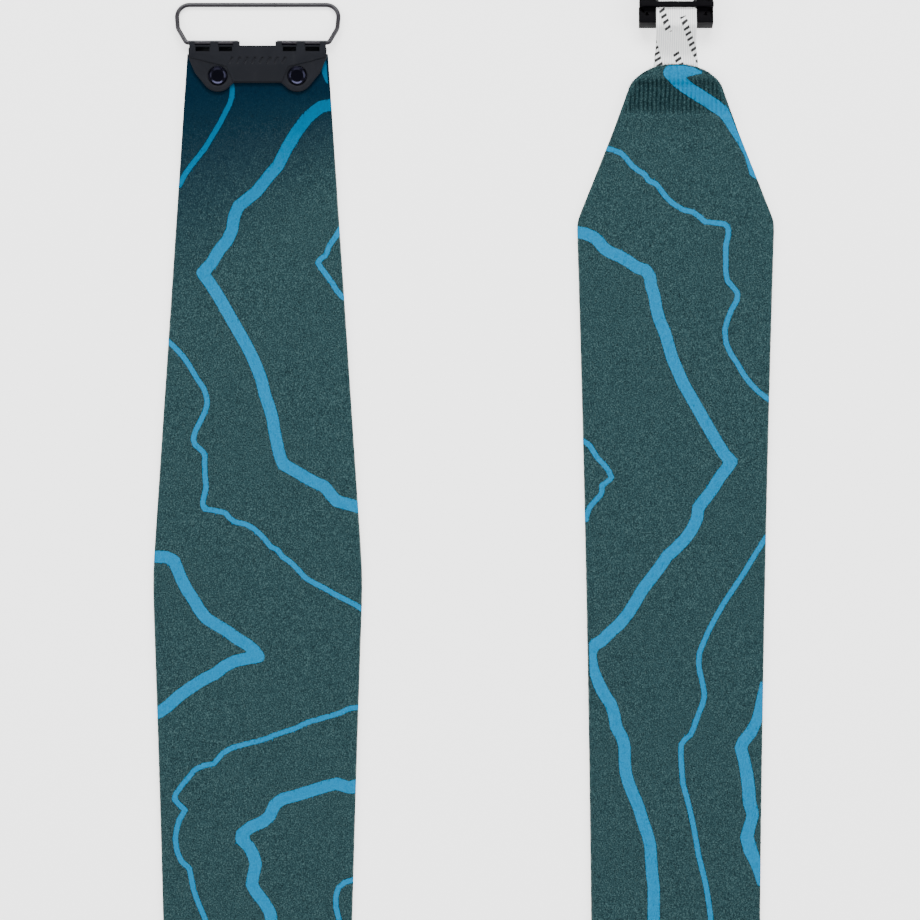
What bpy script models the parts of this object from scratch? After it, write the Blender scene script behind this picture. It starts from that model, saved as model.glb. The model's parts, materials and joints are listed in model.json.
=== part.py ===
"""A pair of ski climbing skins, laid flat side by side with the plush side up.

The left skin's tip and the right skin's tail point along +Y. Each skin is a laminate strip with a wire bail
clipped to its tip plate and an elastic strap with a cam hook at its tail. One skin is modelled in its own
frame, X across, +Y towards its tip and Z up, with the bail's hinge line above the origin.
"""

import math

import bmesh
import bpy
from mathutils import Vector

MM = 0.001

# The pair
SKIN_SPACING = 238 * MM
HINGE_TO_TAIL = 1660 * MM
HINGE_Y = 836.2 * MM

# The strip's plan: tip taper, parabolic sidecut, tail taper and a rounded tail end
FRONT_EDGE = 6.5 * MM
TIP_HALF = 39.6 * MM
SHOULDER_HALF = 59.9 * MM
SHOULDER_AT = 305 * MM
WAIST_HALF = 47.3 * MM
WAIST_AT = 1000 * MM
TAIL_HALF = 56.3 * MM
TAIL_AT = 1572 * MM
TAIL_TAPER = 0.4
NOSE_LENGTH = 18 * MM
NOSE_HALF = 27.6 * MM
CORNER_SOFTNESS = 0.6 * MM

# The laminate, from the floor up
GAP = 0.3 * MM
ADHESIVE = 0.5 * MM
MEMBRANE = 0.5 * MM
PLUSH = 1.5 * MM
CLAMPED_PLUSH = 0.9 * MM
SEAM_PLUSH = 1.9 * MM
FOLD_PLUSH = 2.9 * MM
SEAM_LENGTH = 34 * MM
FOLD_LENGTH = 13 * MM
GLUE_STOP = 31 * MM
PATCH_LENGTH = 30 * MM
PATCH_HALF = 22 * MM

# The tip plates and their studs
BASE_PLATE = 1.3 * MM
CLAMP_END = 30 * MM
CLAMP_RAMP_END = 78 * MM
TIP_LIFT = BASE_PLATE + GAP
PLATE_BOTTOM = TIP_LIFT + ADHESIVE + GAP + MEMBRANE + GAP + CLAMPED_PLUSH + GAP
PLATE_TOP = PLATE_BOTTOM + 1.9 * MM
PANEL_TOP = PLATE_TOP + 0.6 * MM
PLATE_HALF = 39.3 * MM
PLATE_FRONT = -1.7 * MM
PLATE_BACK = -23 * MM
BASE_INSET = 0.8 * MM
BASE_FRONT = 0.8 * MM
BASE_NOTCH = 10.6 * MM
LOBE_RADIUS = 9.1 * MM
STUD_X = 22.6 * MM
STUD_Y = -18.9 * MM
STUD_HEAD = 5.2 * MM
STUD_POCKET = 5.6 * MM
STUD_SHANK = 2.8 * MM
STUD_HOLE = 3.2 * MM
WASHER_RADIUS = 4.8 * MM
WASHER_SINK = 0.7 * MM
CLIPS = ((10.2, 13.8), (22.4, 26.8), (35.7, 38.9))
WINDOWS = ((14.4, 22.0), (27.2, 35.3))

# The bail
WIRE = 1.3 * MM
WIRE_CHANNEL = 1.55 * MM
CLIP_MOUTH = 1.15 * MM
HINGE_Z = 4.6 * MM
BAIL_DEPTH = 22 * MM
BAIL_FOOT = 11 * MM
BAIL_TILT = math.asin((HINGE_Z - WIRE) / BAIL_DEPTH)

# The tail hook, in its own frame: U away from the skin along the strap, W up from the top of its plate
HOOK_START = 23.2 * MM
HOOK_LENGTH = 50 * MM
HOOK_HALF = 21 * MM
HOOK_PLATE = 2 * MM
HOOK_MOUTH = 7 * MM
HOOK_LIP = 12 * MM
HOOK_DROP = HOOK_MOUTH + 2 * HOOK_PLATE
HOOK_TILT = math.atan((HOOK_DROP - HOOK_PLATE) / (HOOK_LENGTH - HOOK_LIP))
HOOK_TOP_Z = HOOK_LENGTH * math.sin(HOOK_TILT) + HOOK_PLATE * math.cos(HOOK_TILT)
PRONG_IN = 12.4 * MM
KEEPER_NEAR = 8.4 * MM
KEEPER_FAR = 11.4 * MM
KEEPER_LOW = 2.15 * MM
KEEPER_HIGH = 4 * MM
CHEEK_IN = 12.7 * MM
CHEEK_OUT = 15.8 * MM
CAM_U = 25 * MM
CAM_W = 6.3 * MM
CAM_RADIUS = 3.3 * MM
CAM_OFFSET = 0.9 * MM
PIN_RADIUS = 1.25 * MM
PIN_HEAD = 2.1 * MM
PIN_BORE = 1.5 * MM
SIDE_HOLE = 1.1 * MM

# The strap and its end tab
STRAP_THICK = 1.5 * MM
STRAP_HALF = 12 * MM
STRAP_FLARE = 13.8 * MM
STRAP_SEWN = 27 * MM
STRAP_REACH = 113 * MM
STRAP_REST = 0.4 * MM
TAIL_LIFT = 3 * MM
TAIL_LIFT_LENGTH = 110 * MM
TAB_HALF = 14.2 * MM
TAB_LENGTH = 14 * MM
TAB_GRIP = 9 * MM
TAB_THICK = 3.5 * MM

# A through cut runs this far past what it cuts
PAST = 25 * MM

FINISHES = {
    "plush": ((0.055, 0.115, 0.12), 0.95, 0.0),
    "membrane": ((0.03, 0.035, 0.04), 0.7, 0.0),
    "adhesive": ((0.55, 0.52, 0.42), 0.35, 0.0),
    "moulded_black": ((0.02, 0.02, 0.024), 0.5, 0.0),
    "wire_black": ((0.03, 0.03, 0.035), 0.35, 0.8),
    "steel": ((0.5, 0.5, 0.52), 0.3, 1.0),
    "webbing": ((0.82, 0.83, 0.82), 0.85, 0.0),
}


def clear_scene():
    for item in list(bpy.data.objects):
        bpy.data.objects.remove(item, do_unlink=True)


def finish(slot):
    """The slot's Principled material, made on first use."""
    found = bpy.data.materials.get(slot)
    if found:
        return found
    colour, roughness, metallic = FINISHES[slot]
    made = bpy.data.materials.new(slot)
    made.use_nodes = True
    shader = made.node_tree.nodes["Principled BSDF"]
    shader.inputs["Base Color"].default_value = (*colour, 1)
    shader.inputs["Roughness"].default_value = roughness
    shader.inputs["Metallic"].default_value = metallic
    return made


def add_empty(name, parent, location=(0, 0, 0), rotation=(0, 0, 0)):
    empty = bpy.data.objects.new(name, None)
    bpy.context.scene.collection.objects.link(empty)
    empty.parent = parent
    empty.location = location
    empty.rotation_euler = rotation
    return empty


def add_part(name, data, parent, slot, location=(0, 0, 0)):
    """A sub-part in the scene, with its slot's material."""
    item = bpy.data.objects.new(name, data)
    bpy.context.scene.collection.objects.link(item)
    item.parent = parent
    item.location = location
    data.materials.append(finish(slot))
    return item


def combine(target, build, operation):
    """A shape joined to a sub-part, or cut out of it, by a Boolean whose tool stays hidden."""
    step = target.modifiers.new(operation.title(), "BOOLEAN")
    step.operation = operation
    tool = bpy.data.objects.new(f"{target.name}_tool_{len(target.modifiers)}", mesh_from("tool", build))
    bpy.context.scene.collection.objects.link(tool)
    tool.parent = target.parent
    tool.location = target.location
    tool.hide_render = True
    tool.display_type = "WIRE"
    step.object = tool


def join(target, build):
    combine(target, build, "UNION")


def cut(target, build):
    combine(target, build, "DIFFERENCE")


def mesh_from(name, build):
    """A mesh made by a function that fills a bmesh, with its faces turned outwards."""
    mesh = bpy.data.meshes.new(name)
    bm = bmesh.new()
    build(bm)
    bmesh.ops.recalc_face_normals(bm, faces=bm.faces)
    bm.to_mesh(mesh)
    bm.free()
    return mesh


def loft(rings):
    """A closed body through rings of equal point count."""

    def build(bm):
        made = [[bm.verts.new(point) for point in ring] for ring in rings]
        bm.faces.new(made[0])
        bm.faces.new(made[-1])
        count = len(made[0])
        for near, far in zip(made, made[1:]):
            for i in range(count):
                j = (i + 1) % count
                bm.faces.new((near[i], near[j], far[j], far[i]))

    return build


def prism(outline, low, high):
    """An outline in X and Y, extruded along Z."""
    return loft([[(x, y, z) for x, y in outline] for z in (low, high)])


def bar(outline, low, high):
    """An outline in Y and Z, extruded along X."""
    return loft([[(x, y, z) for y, z in outline] for x in (low, high)])


def turned(profile, count, along_x=False):
    """A profile of radius and height, spun once round Z or round X."""

    def build(bm):
        rings = []
        for i in range(count):
            a = 2 * math.pi * i / count
            points = [(r * math.cos(a), r * math.sin(a), z) for r, z in profile]
            rings.append([bm.verts.new((z, x, y) if along_x else (x, y, z)) for x, y, z in points])
        for near, far in zip(rings, rings[1:] + rings[:1]):
            for j in range(len(profile) - 1):
                bm.faces.new((near[j], near[j + 1], far[j + 1], far[j]))
        bmesh.ops.remove_doubles(bm, verts=bm.verts, dist=1e-6)
        bmesh.ops.dissolve_degenerate(bm, edges=bm.edges, dist=1e-7)

    return build


def in_mm(points):
    return [(a * MM, b * MM) for a, b in points]


def mirrored(half):
    """A half outline that starts on the centre line, closed with its mirror image."""
    return half + [(-x, y) for x, y in reversed(half[1:])]


def arc(centre, radius, start, end, count):
    """Points on an arc, its angles in degrees."""
    turns = [math.radians(start + (end - start) * i / (count - 1)) for i in range(count)]
    return [(centre[0] + radius * math.cos(a), centre[1] + radius * math.sin(a)) for a in turns]


def circle(centre, radius, count):
    return arc(centre, radius, 0, 360 * (1 - 1 / count), count)


def rectangle(x0, y0, x1, y1):
    return [(x0, y0), (x1, y0), (x1, y1), (x0, y1)]


def span(sign, near, far):
    """The two ends, lowest first, of a stretch that lies from near to far on one side of the middle."""
    return sorted((sign * near, sign * far))


# The laminate strip. T is the distance behind the hinge line, D the distance left to the tail end.


def smooth(value):
    value = min(1.0, max(0.0, value))
    return value * value * (3 - 2 * value)


def soft_min(*values):
    total = sum(math.exp(-v / CORNER_SOFTNESS) for v in values)
    return -CORNER_SOFTNESS * math.log(total)


def half_width(t):
    d = HINGE_TO_TAIL - t
    if d < NOSE_LENGTH:
        return NOSE_HALF * math.sqrt(1 - (1 - d / NOSE_LENGTH) ** 2)
    tip = TIP_HALF + (SHOULDER_HALF - TIP_HALF) * t / SHOULDER_AT
    rise, reach = SHOULDER_HALF - WAIST_HALF, WAIST_AT - SHOULDER_AT
    if t > WAIST_AT:
        rise, reach = TAIL_HALF - WAIST_HALF, TAIL_AT - WAIST_AT
    sidecut = WAIST_HALF + rise * ((t - WAIST_AT) / reach) ** 2
    taper = NOSE_HALF + TAIL_TAPER * (d - NOSE_LENGTH)
    return soft_min(tip, sidecut, taper)


def lift(t):
    """Height of the laminate's underside, which rises onto the base plate and towards the tail hook."""
    tip = TIP_LIFT * (1 - smooth((t - CLAMP_END) / (CLAMP_RAMP_END - CLAMP_END)))
    tail = max(0.0, 1 - (HINGE_TO_TAIL - t) / TAIL_LIFT_LENGTH)
    return tip + TAIL_LIFT * tail**2


def plush_thickness(t):
    """The pile is pressed under the tip plate, and folded double and sewn flat at the tail."""
    d = HINGE_TO_TAIL - t
    clamped = CLAMPED_PLUSH + (PLUSH - CLAMPED_PLUSH) * smooth((t - CLAMP_END) / (10 * MM))
    seam = (SEAM_PLUSH - PLUSH) * smooth((SEAM_LENGTH - d) / (5 * MM))
    fold = (FOLD_PLUSH - SEAM_PLUSH) * smooth((FOLD_LENGTH - d) / (4 * MM))
    nose = (FOLD_PLUSH - PLUSH) * smooth((3 * MM - d) / (4 * MM))
    return clamped + seam + fold - nose


def stations(end):
    """Distances behind the hinge line, closest together where the strip bends or turns."""
    bends = [(FRONT_EDGE, 1), (CLAMP_END, 7), (CLAMP_RAMP_END, 2), (285 * MM, 5), (330 * MM, 16)]
    bends += [(HINGE_TO_TAIL - TAIL_LIFT_LENGTH, 7), (HINGE_TO_TAIL - SEAM_LENGTH, 6)]
    bends += [(HINGE_TO_TAIL - NOSE_LENGTH, 0)]
    found = []
    for (start, count), (stop, _) in zip(bends, bends[1:]):
        found += [start + (stop - start) * i / count for i in range(count)]
    for degrees in (0, 14, 27, 40, 53, 66, 78):
        found.append(HINGE_TO_TAIL - NOSE_LENGTH * (1 - math.sin(math.radians(degrees))))
    return [t for t in found if t < end - MM] + [end]


def flat_layer(low, thickness, end):
    """One even layer of the laminate, a height above its underside."""
    rings = []
    for t in stations(end):
        half, z = half_width(t), lift(t) + low
        rings.append([(-half, -t, z), (half, -t, z), (half, -t, z + thickness), (-half, -t, z + thickness)])
    return loft(rings)


def plush_layer(low):
    """The top layer, which arches over the strap's sewn end and comes down beside it."""
    over_strap = ADHESIVE + GAP + STRAP_THICK + GAP
    over_patch = ADHESIVE + GAP
    rings = []
    for t in stations(HINGE_TO_TAIL - 0.1 * MM):
        half, d = half_width(t), HINGE_TO_TAIL - t
        inner = min(STRAP_FLARE + 0.6 * MM, half - 0.8 * MM)
        outer = min(STRAP_FLARE + 1.8 * MM, half - 0.4 * MM)
        middle = lift(t) + low + (over_strap - low) * smooth((41 * MM - d) / (10 * MM))
        side = lift(t) + low + (over_patch - low) * smooth((30.5 * MM - d) / (5 * MM))
        if half < STRAP_FLARE + 5 * MM:
            side = middle
        under = [(half, side), (outer, side), (inner, middle)]
        top = [(-inner, middle), (-half, side)]
        ring = [(-x, -t, z) for x, z in under] + [(x, -t, z) for x, z in reversed(under)]
        thick = plush_thickness(t)
        ring += [(-x, -t, z + thick) for x, z in reversed(top)] + [(x, -t, z + thick) for x, z in top]
        rings.append(ring)
    return loft(rings)


def add_laminate(side, root):
    """The plush over the membrane over the adhesive, punched for the tip's two studs."""
    glue_end = HINGE_TO_TAIL - GLUE_STOP
    membrane_low = ADHESIVE + GAP
    shapes = {
        "adhesive": flat_layer(0, ADHESIVE, glue_end),
        "membrane": flat_layer(membrane_low, MEMBRANE, glue_end),
        "plush": plush_layer(membrane_low + MEMBRANE + GAP),
    }
    for name, build in shapes.items():
        layer = add_part(f"{side}_{name}", mesh_from(name, build), root, name)
        cut_stud_holes(layer)


def add_tail_patch(side, root):
    """The reinforcing patch under the strap's sewn end."""
    start, end = HINGE_TO_TAIL - PATCH_LENGTH, HINGE_TO_TAIL - 3 * MM
    rings = []
    for i in range(9):
        t = start + (end - start) * i / 8
        half, low = min(half_width(t) - MM, PATCH_HALF), lift(t)
        high = low + ADHESIVE
        rings.append([(-half, -t, low), (half, -t, low), (half, -t, high), (-half, -t, high)])
    add_part(f"{side}_tail_patch", mesh_from("tail_patch", loft(rings)), root, "membrane")


# The tip clamp


def cut_stud_holes(target):
    for sign in (-1, 1):
        cut(target, prism(circle((sign * STUD_X, STUD_Y), STUD_HOLE, 24), -2 * MM, 12 * MM))


def plate_outline(front, inset=0.0):
    """A clamp plate's plan: straight front, sloping sides, a lobe round each stud and a straight back."""
    side, back = PLATE_HALF - inset, PLATE_BACK + inset
    lobe = arc((STUD_X, STUD_Y), LOBE_RADIUS - inset, -140, -38, 8)
    corner = in_mm([(35.6, -17.2)])
    half = [(0, back), (13.6 * MM, back), *lobe, (corner[0][0] - inset, corner[0][1])]
    half += [(side, -8.6 * MM), (side, front - 1.6 * MM), (side - 1.6 * MM, front)]
    return mirrored(half)


def panel_outline():
    """The raised middle of the clamp plate, which leaves the two lobes lower."""
    half = [(0, -22.4), (13.6, -22.4), (17.6, -13.6), (28, -11.2), (38.5, -8.4), (38.5, -3.7), (37.2, -2.3)]
    return mirrored(in_mm(half))


def clip_profile():
    """The section of a wire clip, round-backed behind the wire and open towards the front."""
    low, high = HINGE_Z - 2.3 * MM, PLATE_TOP + 0.25 * MM
    front, back = 0.9 * MM, -5.2 * MM
    bevel = 0.5 * MM
    rim = [(front - bevel, low), (front, low + bevel), (front, high - 2 * bevel), (front - bevel, high)]
    return [(back, low), *rim, (back, high)]


def add_tip_plate(side, root):
    plate = add_part(
        f"{side}_tip_plate",
        mesh_from("tip_plate", prism(plate_outline(PLATE_FRONT), PLATE_BOTTOM, PLATE_TOP)),
        root,
        "moulded_black",
    )
    join(plate, prism(panel_outline(), PLATE_BOTTOM + 0.5 * MM, PANEL_TOP))
    for sign in (-1, 1):
        for near, far in CLIPS:
            join(plate, bar(clip_profile(), *span(sign, near * MM, far * MM)))
    for sign in (-1, 1):
        wire_run = span(sign, BAIL_FOOT - 0.5 * MM, 45 * MM)
        cut(plate, bar(circle((0, HINGE_Z), WIRE_CHANNEL, 16), *wire_run))
        cut(plate, bar(rectangle(0, HINGE_Z - CLIP_MOUTH, 4 * MM, HINGE_Z + CLIP_MOUTH), *wire_run))
        for near, far in WINDOWS:
            low, high = span(sign, near * MM, far * MM)
            cut(plate, prism(rectangle(low, -5 * MM, high, -2.4 * MM), PLATE_BOTTOM - MM, PANEL_TOP + MM))
        pocket = circle((sign * STUD_X, STUD_Y), STUD_POCKET, 32)
        cut(plate, prism(pocket, PLATE_TOP - MM, PANEL_TOP + MM))
    cut_stud_holes(plate)


def add_base_plate(side, root):
    """The plate under the skin, which reaches under the wire and is sunk from below for the washers."""
    base = mesh_from("base_plate", prism(plate_outline(BASE_FRONT, BASE_INSET), 0, BASE_PLATE))
    plate = add_part(f"{side}_base_plate", base, root, "moulded_black")
    notch = rectangle(-BASE_NOTCH, PLATE_FRONT - BASE_INSET, BASE_NOTCH, BASE_FRONT + MM)
    cut(plate, prism(notch, -MM, BASE_PLATE + MM))
    for sign in (-1, 1):
        sink = circle((sign * STUD_X, STUD_Y), WASHER_RADIUS + GAP, 24)
        cut(plate, prism(sink, -MM, WASHER_SINK))
    cut_stud_holes(plate)


def stud_profile():
    """A dished head in its pocket, on a shank that ends just inside the base plate."""
    seat, rim = PLATE_TOP - 0.7 * MM, PLATE_TOP + 0.75 * MM
    dish = [(0, rim - 0.65 * MM), (2.6 * MM, rim - 0.65 * MM), (3.6 * MM, rim), (4.6 * MM, rim)]
    head = [(STUD_HEAD, rim - 0.5 * MM), (STUD_HEAD, seat), (STUD_SHANK, seat)]
    return dish + head + [(STUD_SHANK, 0.1 * MM), (0, 0.1 * MM)]


def washer_profile():
    inner, low, high = STUD_SHANK + GAP, 0.05 * MM, 0.45 * MM
    return [(inner, low), (WASHER_RADIUS, low), (WASHER_RADIUS, high), (inner, high), (inner, low)]


def fillet(points, radii, per_turn=4):
    """A polyline in a plane with its inner corners rounded."""
    path = [points[0]]
    for before, corner, after, radius in zip(points, points[1:], points[2:], radii):
        back, on = (before - corner).normalized(), (after - corner).normalized()
        half_angle = back.angle(on) / 2
        reach = radius / math.tan(half_angle)
        centre = corner + (back + on).normalized() * radius / math.sin(half_angle)
        start, end = corner + back * reach - centre, corner + on * reach - centre
        sweep = -start.angle_signed(end)
        for i in range(per_turn + 1):
            c, s = math.cos(sweep * i / per_turn), math.sin(sweep * i / per_turn)
            path.append(centre + Vector((start.x * c - start.y * s, start.x * s + start.y * c)))
    path.append(points[-1])
    return path


def bail_points():
    """The wire's centre line in the bail's own plane, from one foot round to the other."""
    arm = in_mm([(40.6, 0), (45.4, 8.4)])
    corners = [(BAIL_FOOT, 0), *arm, (46.6 * MM, BAIL_DEPTH), (0, BAIL_DEPTH)]
    half = fillet([Vector(p) for p in corners], [2.2 * MM, 5 * MM, 7 * MM])
    return half + [Vector((-p.x, p.y)) for p in reversed(half[:-1])]


def add_bail(side, root):
    """The wire bail, turned down from its hinge line until its far side meets the floor."""
    curve = bpy.data.curves.new("bail", "CURVE")
    curve.dimensions = "3D"
    curve.bevel_depth = WIRE
    curve.bevel_resolution = 2
    curve.use_fill_caps = True
    points = bail_points()
    spline = curve.splines.new("POLY")
    spline.points.add(len(points) - 1)
    for slot, point in zip(spline.points, points):
        slot.co = (point.x, point.y, 0, 1)
    axis = add_empty(f"{side}_bail_axis", root, (0, 0, HINGE_Z), (-BAIL_TILT, 0, 0))
    add_part(f"{side}_tip_bail", curve, axis, "wire_black")


def add_tip(side, root):
    add_tip_plate(side, root)
    add_base_plate(side, root)
    for letter, sign in (("a", -1), ("b", 1)):
        at = (sign * STUD_X, STUD_Y, 0)
        stud = mesh_from("stud", turned(stud_profile(), 24))
        washer = mesh_from("washer", turned(washer_profile(), 24))
        add_part(f"{side}_stud_{letter}", stud, root, "moulded_black", at)
        add_part(f"{side}_stud_washer_{letter}", washer, root, "steel", at)
    add_bail(side, root)


# The tail: strap, hook and cam lever. O is the distance past the tail end.


def hook_point(u, w):
    """Distance past the tail end, and height, of a point in the hook's frame."""
    c, s = math.cos(HOOK_TILT), math.sin(HOOK_TILT)
    return HOOK_START + u * c + w * s, HOOK_TOP_Z - u * s + w * c


def strap_line():
    """The strap's centre line: sewn under the plush, up over the hook's plate and down to the floor."""
    middle = STRAP_THICK / 2
    rest = STRAP_REST + middle
    sewn = ADHESIVE + GAP + middle
    line = [(-d, lift(HINGE_TO_TAIL - d) + sewn) for d in (STRAP_SEWN, 18 * MM, 9 * MM, 0)]
    line += in_mm([(5.5, 5.2), (12, 8.7), (18, 12.5)])
    line += [hook_point(u * MM, GAP + middle) for u in (-1.6, 1.6, 5, 12, 20, 30, 40, 48)]
    line += [(78.5 * MM, 2.1 * MM), (85.5 * MM, rest), (94 * MM, rest), (STRAP_REACH, rest)]
    return curved(line, 3)


def curved(points, per_span):
    """A smooth line through the points, with even steps in each span."""
    padded = [points[0], *points, points[-1]]
    line = []
    for before, start, end, after in zip(padded, padded[1:], padded[2:], padded[3:]):
        for i in range(per_span):
            f = i / per_span
            weights = (-f + 2 * f**2 - f**3, 2 - 5 * f**2 + 3 * f**3, f + 4 * f**2 - 3 * f**3, f**3 - f**2)
            pairs = zip(*(before, start, end, after))
            line.append(tuple(sum(w * v for w, v in zip(weights, values)) / 2 for values in pairs))
    return line + [points[-1]]


def strap_half(o):
    return STRAP_HALF + (STRAP_FLARE - STRAP_HALF) * (1 - smooth((o + 2 * MM) / (14 * MM)))


def add_strap(side, root):
    """A flat band along the strap's line, widest where it leaves the skin."""
    line = strap_line()
    rings = []
    for i, (o, z) in enumerate(line):
        before, after = line[max(0, i - 1)], line[min(len(line) - 1, i + 1)]
        along = Vector((after[0] - before[0], after[1] - before[1])).normalized()
        rise, lean = along.x * STRAP_THICK / 2, along.y * STRAP_THICK / 2
        half, y = strap_half(o), -HINGE_TO_TAIL - o
        under, over = (y - lean, z - rise), (y + lean, z + rise)
        rings.append([(-half, *under), (half, *under), (half, *over), (-half, *over)])
    add_part(f"{side}_strap", mesh_from("strap", loft(rings)), root, "webbing")


def add_tab(side, hook_root):
    """The moulded end tab, slotted round the strap's end."""
    end = HOOK_START - STRAP_REACH
    near, far = end + TAB_GRIP, end + TAB_GRIP - TAB_LENGTH
    chamfer = 4 * MM
    half = [(0, near), (TAB_HALF, near), (TAB_HALF, far + chamfer), (TAB_HALF - chamfer, far)]
    tab = mesh_from("tab", prism(mirrored(half), 0, TAB_THICK))
    part = add_part(f"{side}_strap_tab", tab, hook_root, "moulded_black")
    slot = rectangle(-STRAP_HALF - GAP, end - GAP, STRAP_HALF + GAP, near + PAST)
    cut(part, prism(slot, STRAP_REST - GAP, STRAP_REST + STRAP_THICK + GAP))


def add_hook(side, frame):
    """The U-shaped hook: plate, end wall, two prongs, keeper bar over the strap and cheeks for the cam."""
    half = [(0, 0), (HOOK_HALF, 0), (HOOK_HALF, 15 * MM), (CHEEK_OUT, 19 * MM), (CHEEK_OUT, 43 * MM)]
    plan = mirrored(half + [(11 * MM, HOOK_LENGTH)])
    hook = add_part(
        f"{side}_tail_hook", mesh_from("hook", prism(plan, -HOOK_PLATE, 0)), frame, "moulded_black"
    )
    wall = rectangle(-HOOK_HALF, 0, HOOK_HALF, HOOK_PLATE)
    join(hook, prism(wall, -HOOK_DROP, -0.4 * MM))
    cheek = in_mm([(18, -0.5), (32, -0.5)]) + arc((CAM_U, CAM_W), 3.6 * MM, 10, 170, 9)
    for sign in (-1, 1):
        low, high = span(sign, PRONG_IN, HOOK_HALF)
        join(hook, prism(rectangle(low, 0.3 * MM, high, HOOK_LIP), -HOOK_DROP, -HOOK_DROP + HOOK_PLATE))
        low, high = span(sign, PRONG_IN + 0.4 * MM, HOOK_HALF - 0.2 * MM)
        post = rectangle(low, KEEPER_NEAR + 0.2 * MM, high, KEEPER_FAR - 0.2 * MM)
        join(hook, prism(post, -0.5 * MM, KEEPER_LOW + 0.5 * MM))
        join(hook, bar(cheek, *span(sign, CHEEK_IN, CHEEK_OUT - 0.1 * MM)))
        cut(hook, prism(circle((sign * 16.6 * MM, 5.2 * MM), SIDE_HOLE, 14), -5 * MM, 2 * MM))
    reach = HOOK_HALF + 0.2 * MM
    join(hook, prism(rectangle(-reach, KEEPER_NEAR, reach, KEEPER_FAR), KEEPER_LOW, KEEPER_HIGH))
    cut(hook, bar(circle((CAM_U, CAM_W), PIN_BORE, 20), -PAST, PAST))


def add_cam(side, frame):
    """The cam lever on its pin, closed, with its off-centre drum on the strap and its handle along it."""
    axis = add_empty(f"{side}_cam_axis", frame, (0, CAM_U, CAM_W))
    reach = CHEEK_OUT + 0.4 * MM
    end = reach + MM
    half = [(0, -end), (PIN_HEAD, -end), (PIN_HEAD, -reach), (PIN_RADIUS, -reach)]
    profile = half + [(r, -x) for r, x in reversed(half)]
    add_part(f"{side}_cam_pin", mesh_from("pin", turned(profile, 20, along_x=True)), axis, "steel")
    drum_half = CHEEK_IN - 0.4 * MM
    drum = bar(circle((0, -CAM_OFFSET), CAM_RADIUS, 28), -drum_half, drum_half)
    lever = add_part(f"{side}_cam_lever", mesh_from("lever", drum), axis, "moulded_black")
    under = [(0.5, -2.2), (6, -3), (19, -3), (23.5, -1.2)]
    over = [(23.2, 0.4), (18.5, -0.9), (7, -0.6), (1.5, 2)]
    handle_half = drum_half - 0.3 * MM
    join(lever, bar(in_mm(under + over), -handle_half, handle_half))
    cut(lever, bar(circle((0, 0), PIN_BORE, 20), -PAST, PAST))


def add_tail(side, root):
    add_tail_patch(side, root)
    add_strap(side, root)
    hook_root = add_empty(f"{side}_hook_slide", root, (0, -HINGE_TO_TAIL - HOOK_START, 0))
    frame = add_empty(f"{side}_hook_frame", hook_root, (0, 0, HOOK_TOP_Z), (-HOOK_TILT, 0, math.pi))
    add_hook(side, frame)
    add_cam(side, frame)
    add_tab(side, hook_root)


def add_skin(side, place, turn):
    root = add_empty(f"{side}_skin_frame", None, place, (0, 0, turn))
    add_tip(side, root)
    add_laminate(side, root)
    add_tail(side, root)


def main():
    clear_scene()
    add_skin("left", (-SKIN_SPACING / 2, HINGE_Y, 0), 0)
    add_skin("right", (SKIN_SPACING / 2, -HINGE_Y, 0), math.pi)


main()
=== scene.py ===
"""A pair of ski climbing skins, laid flat with the plush side up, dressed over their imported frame.

One skin is described in its own frame: X across, +Y towards its tip and Z up, with the bail's hinge
line over the origin. T is the distance behind the hinge line and D the distance left to the tail end.
"""

import json
import logging
import math
from collections.abc import Callable, Iterator
from contextlib import contextmanager
from dataclasses import dataclass, field
from enum import Enum

import bmesh
import bpy
import numpy as np
from mathutils import Matrix, Vector


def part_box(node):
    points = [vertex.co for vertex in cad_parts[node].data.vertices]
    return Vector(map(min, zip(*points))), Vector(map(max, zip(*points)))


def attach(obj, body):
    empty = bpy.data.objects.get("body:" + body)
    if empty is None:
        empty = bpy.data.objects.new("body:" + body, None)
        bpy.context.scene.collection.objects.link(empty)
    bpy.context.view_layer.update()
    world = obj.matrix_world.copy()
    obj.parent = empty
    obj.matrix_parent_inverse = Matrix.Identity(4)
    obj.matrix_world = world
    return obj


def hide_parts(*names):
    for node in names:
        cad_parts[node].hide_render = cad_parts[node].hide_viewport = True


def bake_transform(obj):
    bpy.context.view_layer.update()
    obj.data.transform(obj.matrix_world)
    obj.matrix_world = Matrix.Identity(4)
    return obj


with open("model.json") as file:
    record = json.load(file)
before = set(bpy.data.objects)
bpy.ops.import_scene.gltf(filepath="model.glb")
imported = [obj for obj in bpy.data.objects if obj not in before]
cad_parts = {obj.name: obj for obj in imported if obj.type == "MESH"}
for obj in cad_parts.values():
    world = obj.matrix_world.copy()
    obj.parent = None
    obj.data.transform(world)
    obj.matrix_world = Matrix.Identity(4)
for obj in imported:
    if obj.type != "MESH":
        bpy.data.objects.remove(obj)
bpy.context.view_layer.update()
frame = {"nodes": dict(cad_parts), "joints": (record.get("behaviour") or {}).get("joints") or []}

MM = 0.001
WELD = 1e-6
ACROSS = 9  # points across each flat side of a layer
LOG = logging.getLogger("climbing_skins")


# ------------------------------------------------------------------------------ tools of the bench


def deselect_all() -> None:
    """Leave edit mode and select nothing."""
    if bpy.context.object and bpy.context.object.mode != "OBJECT":
        bpy.ops.object.mode_set(mode="OBJECT")
    bpy.ops.object.select_all(action="DESELECT")


def take(piece: bpy.types.Object) -> bpy.types.Object:
    """Make a piece the only one selected, and the active one."""
    deselect_all()
    piece.select_set(True)
    bpy.context.view_layer.objects.active = piece
    return piece


@contextmanager
def editing(piece: bpy.types.Object, action: str = "SELECT") -> Iterator[None]:
    """Edit mode on a piece, with all of it selected or none of it."""
    take(piece)
    bpy.ops.object.mode_set(mode="EDIT")
    bpy.ops.mesh.select_all(action=action)
    yield
    bpy.ops.object.mode_set(mode="OBJECT")


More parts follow.
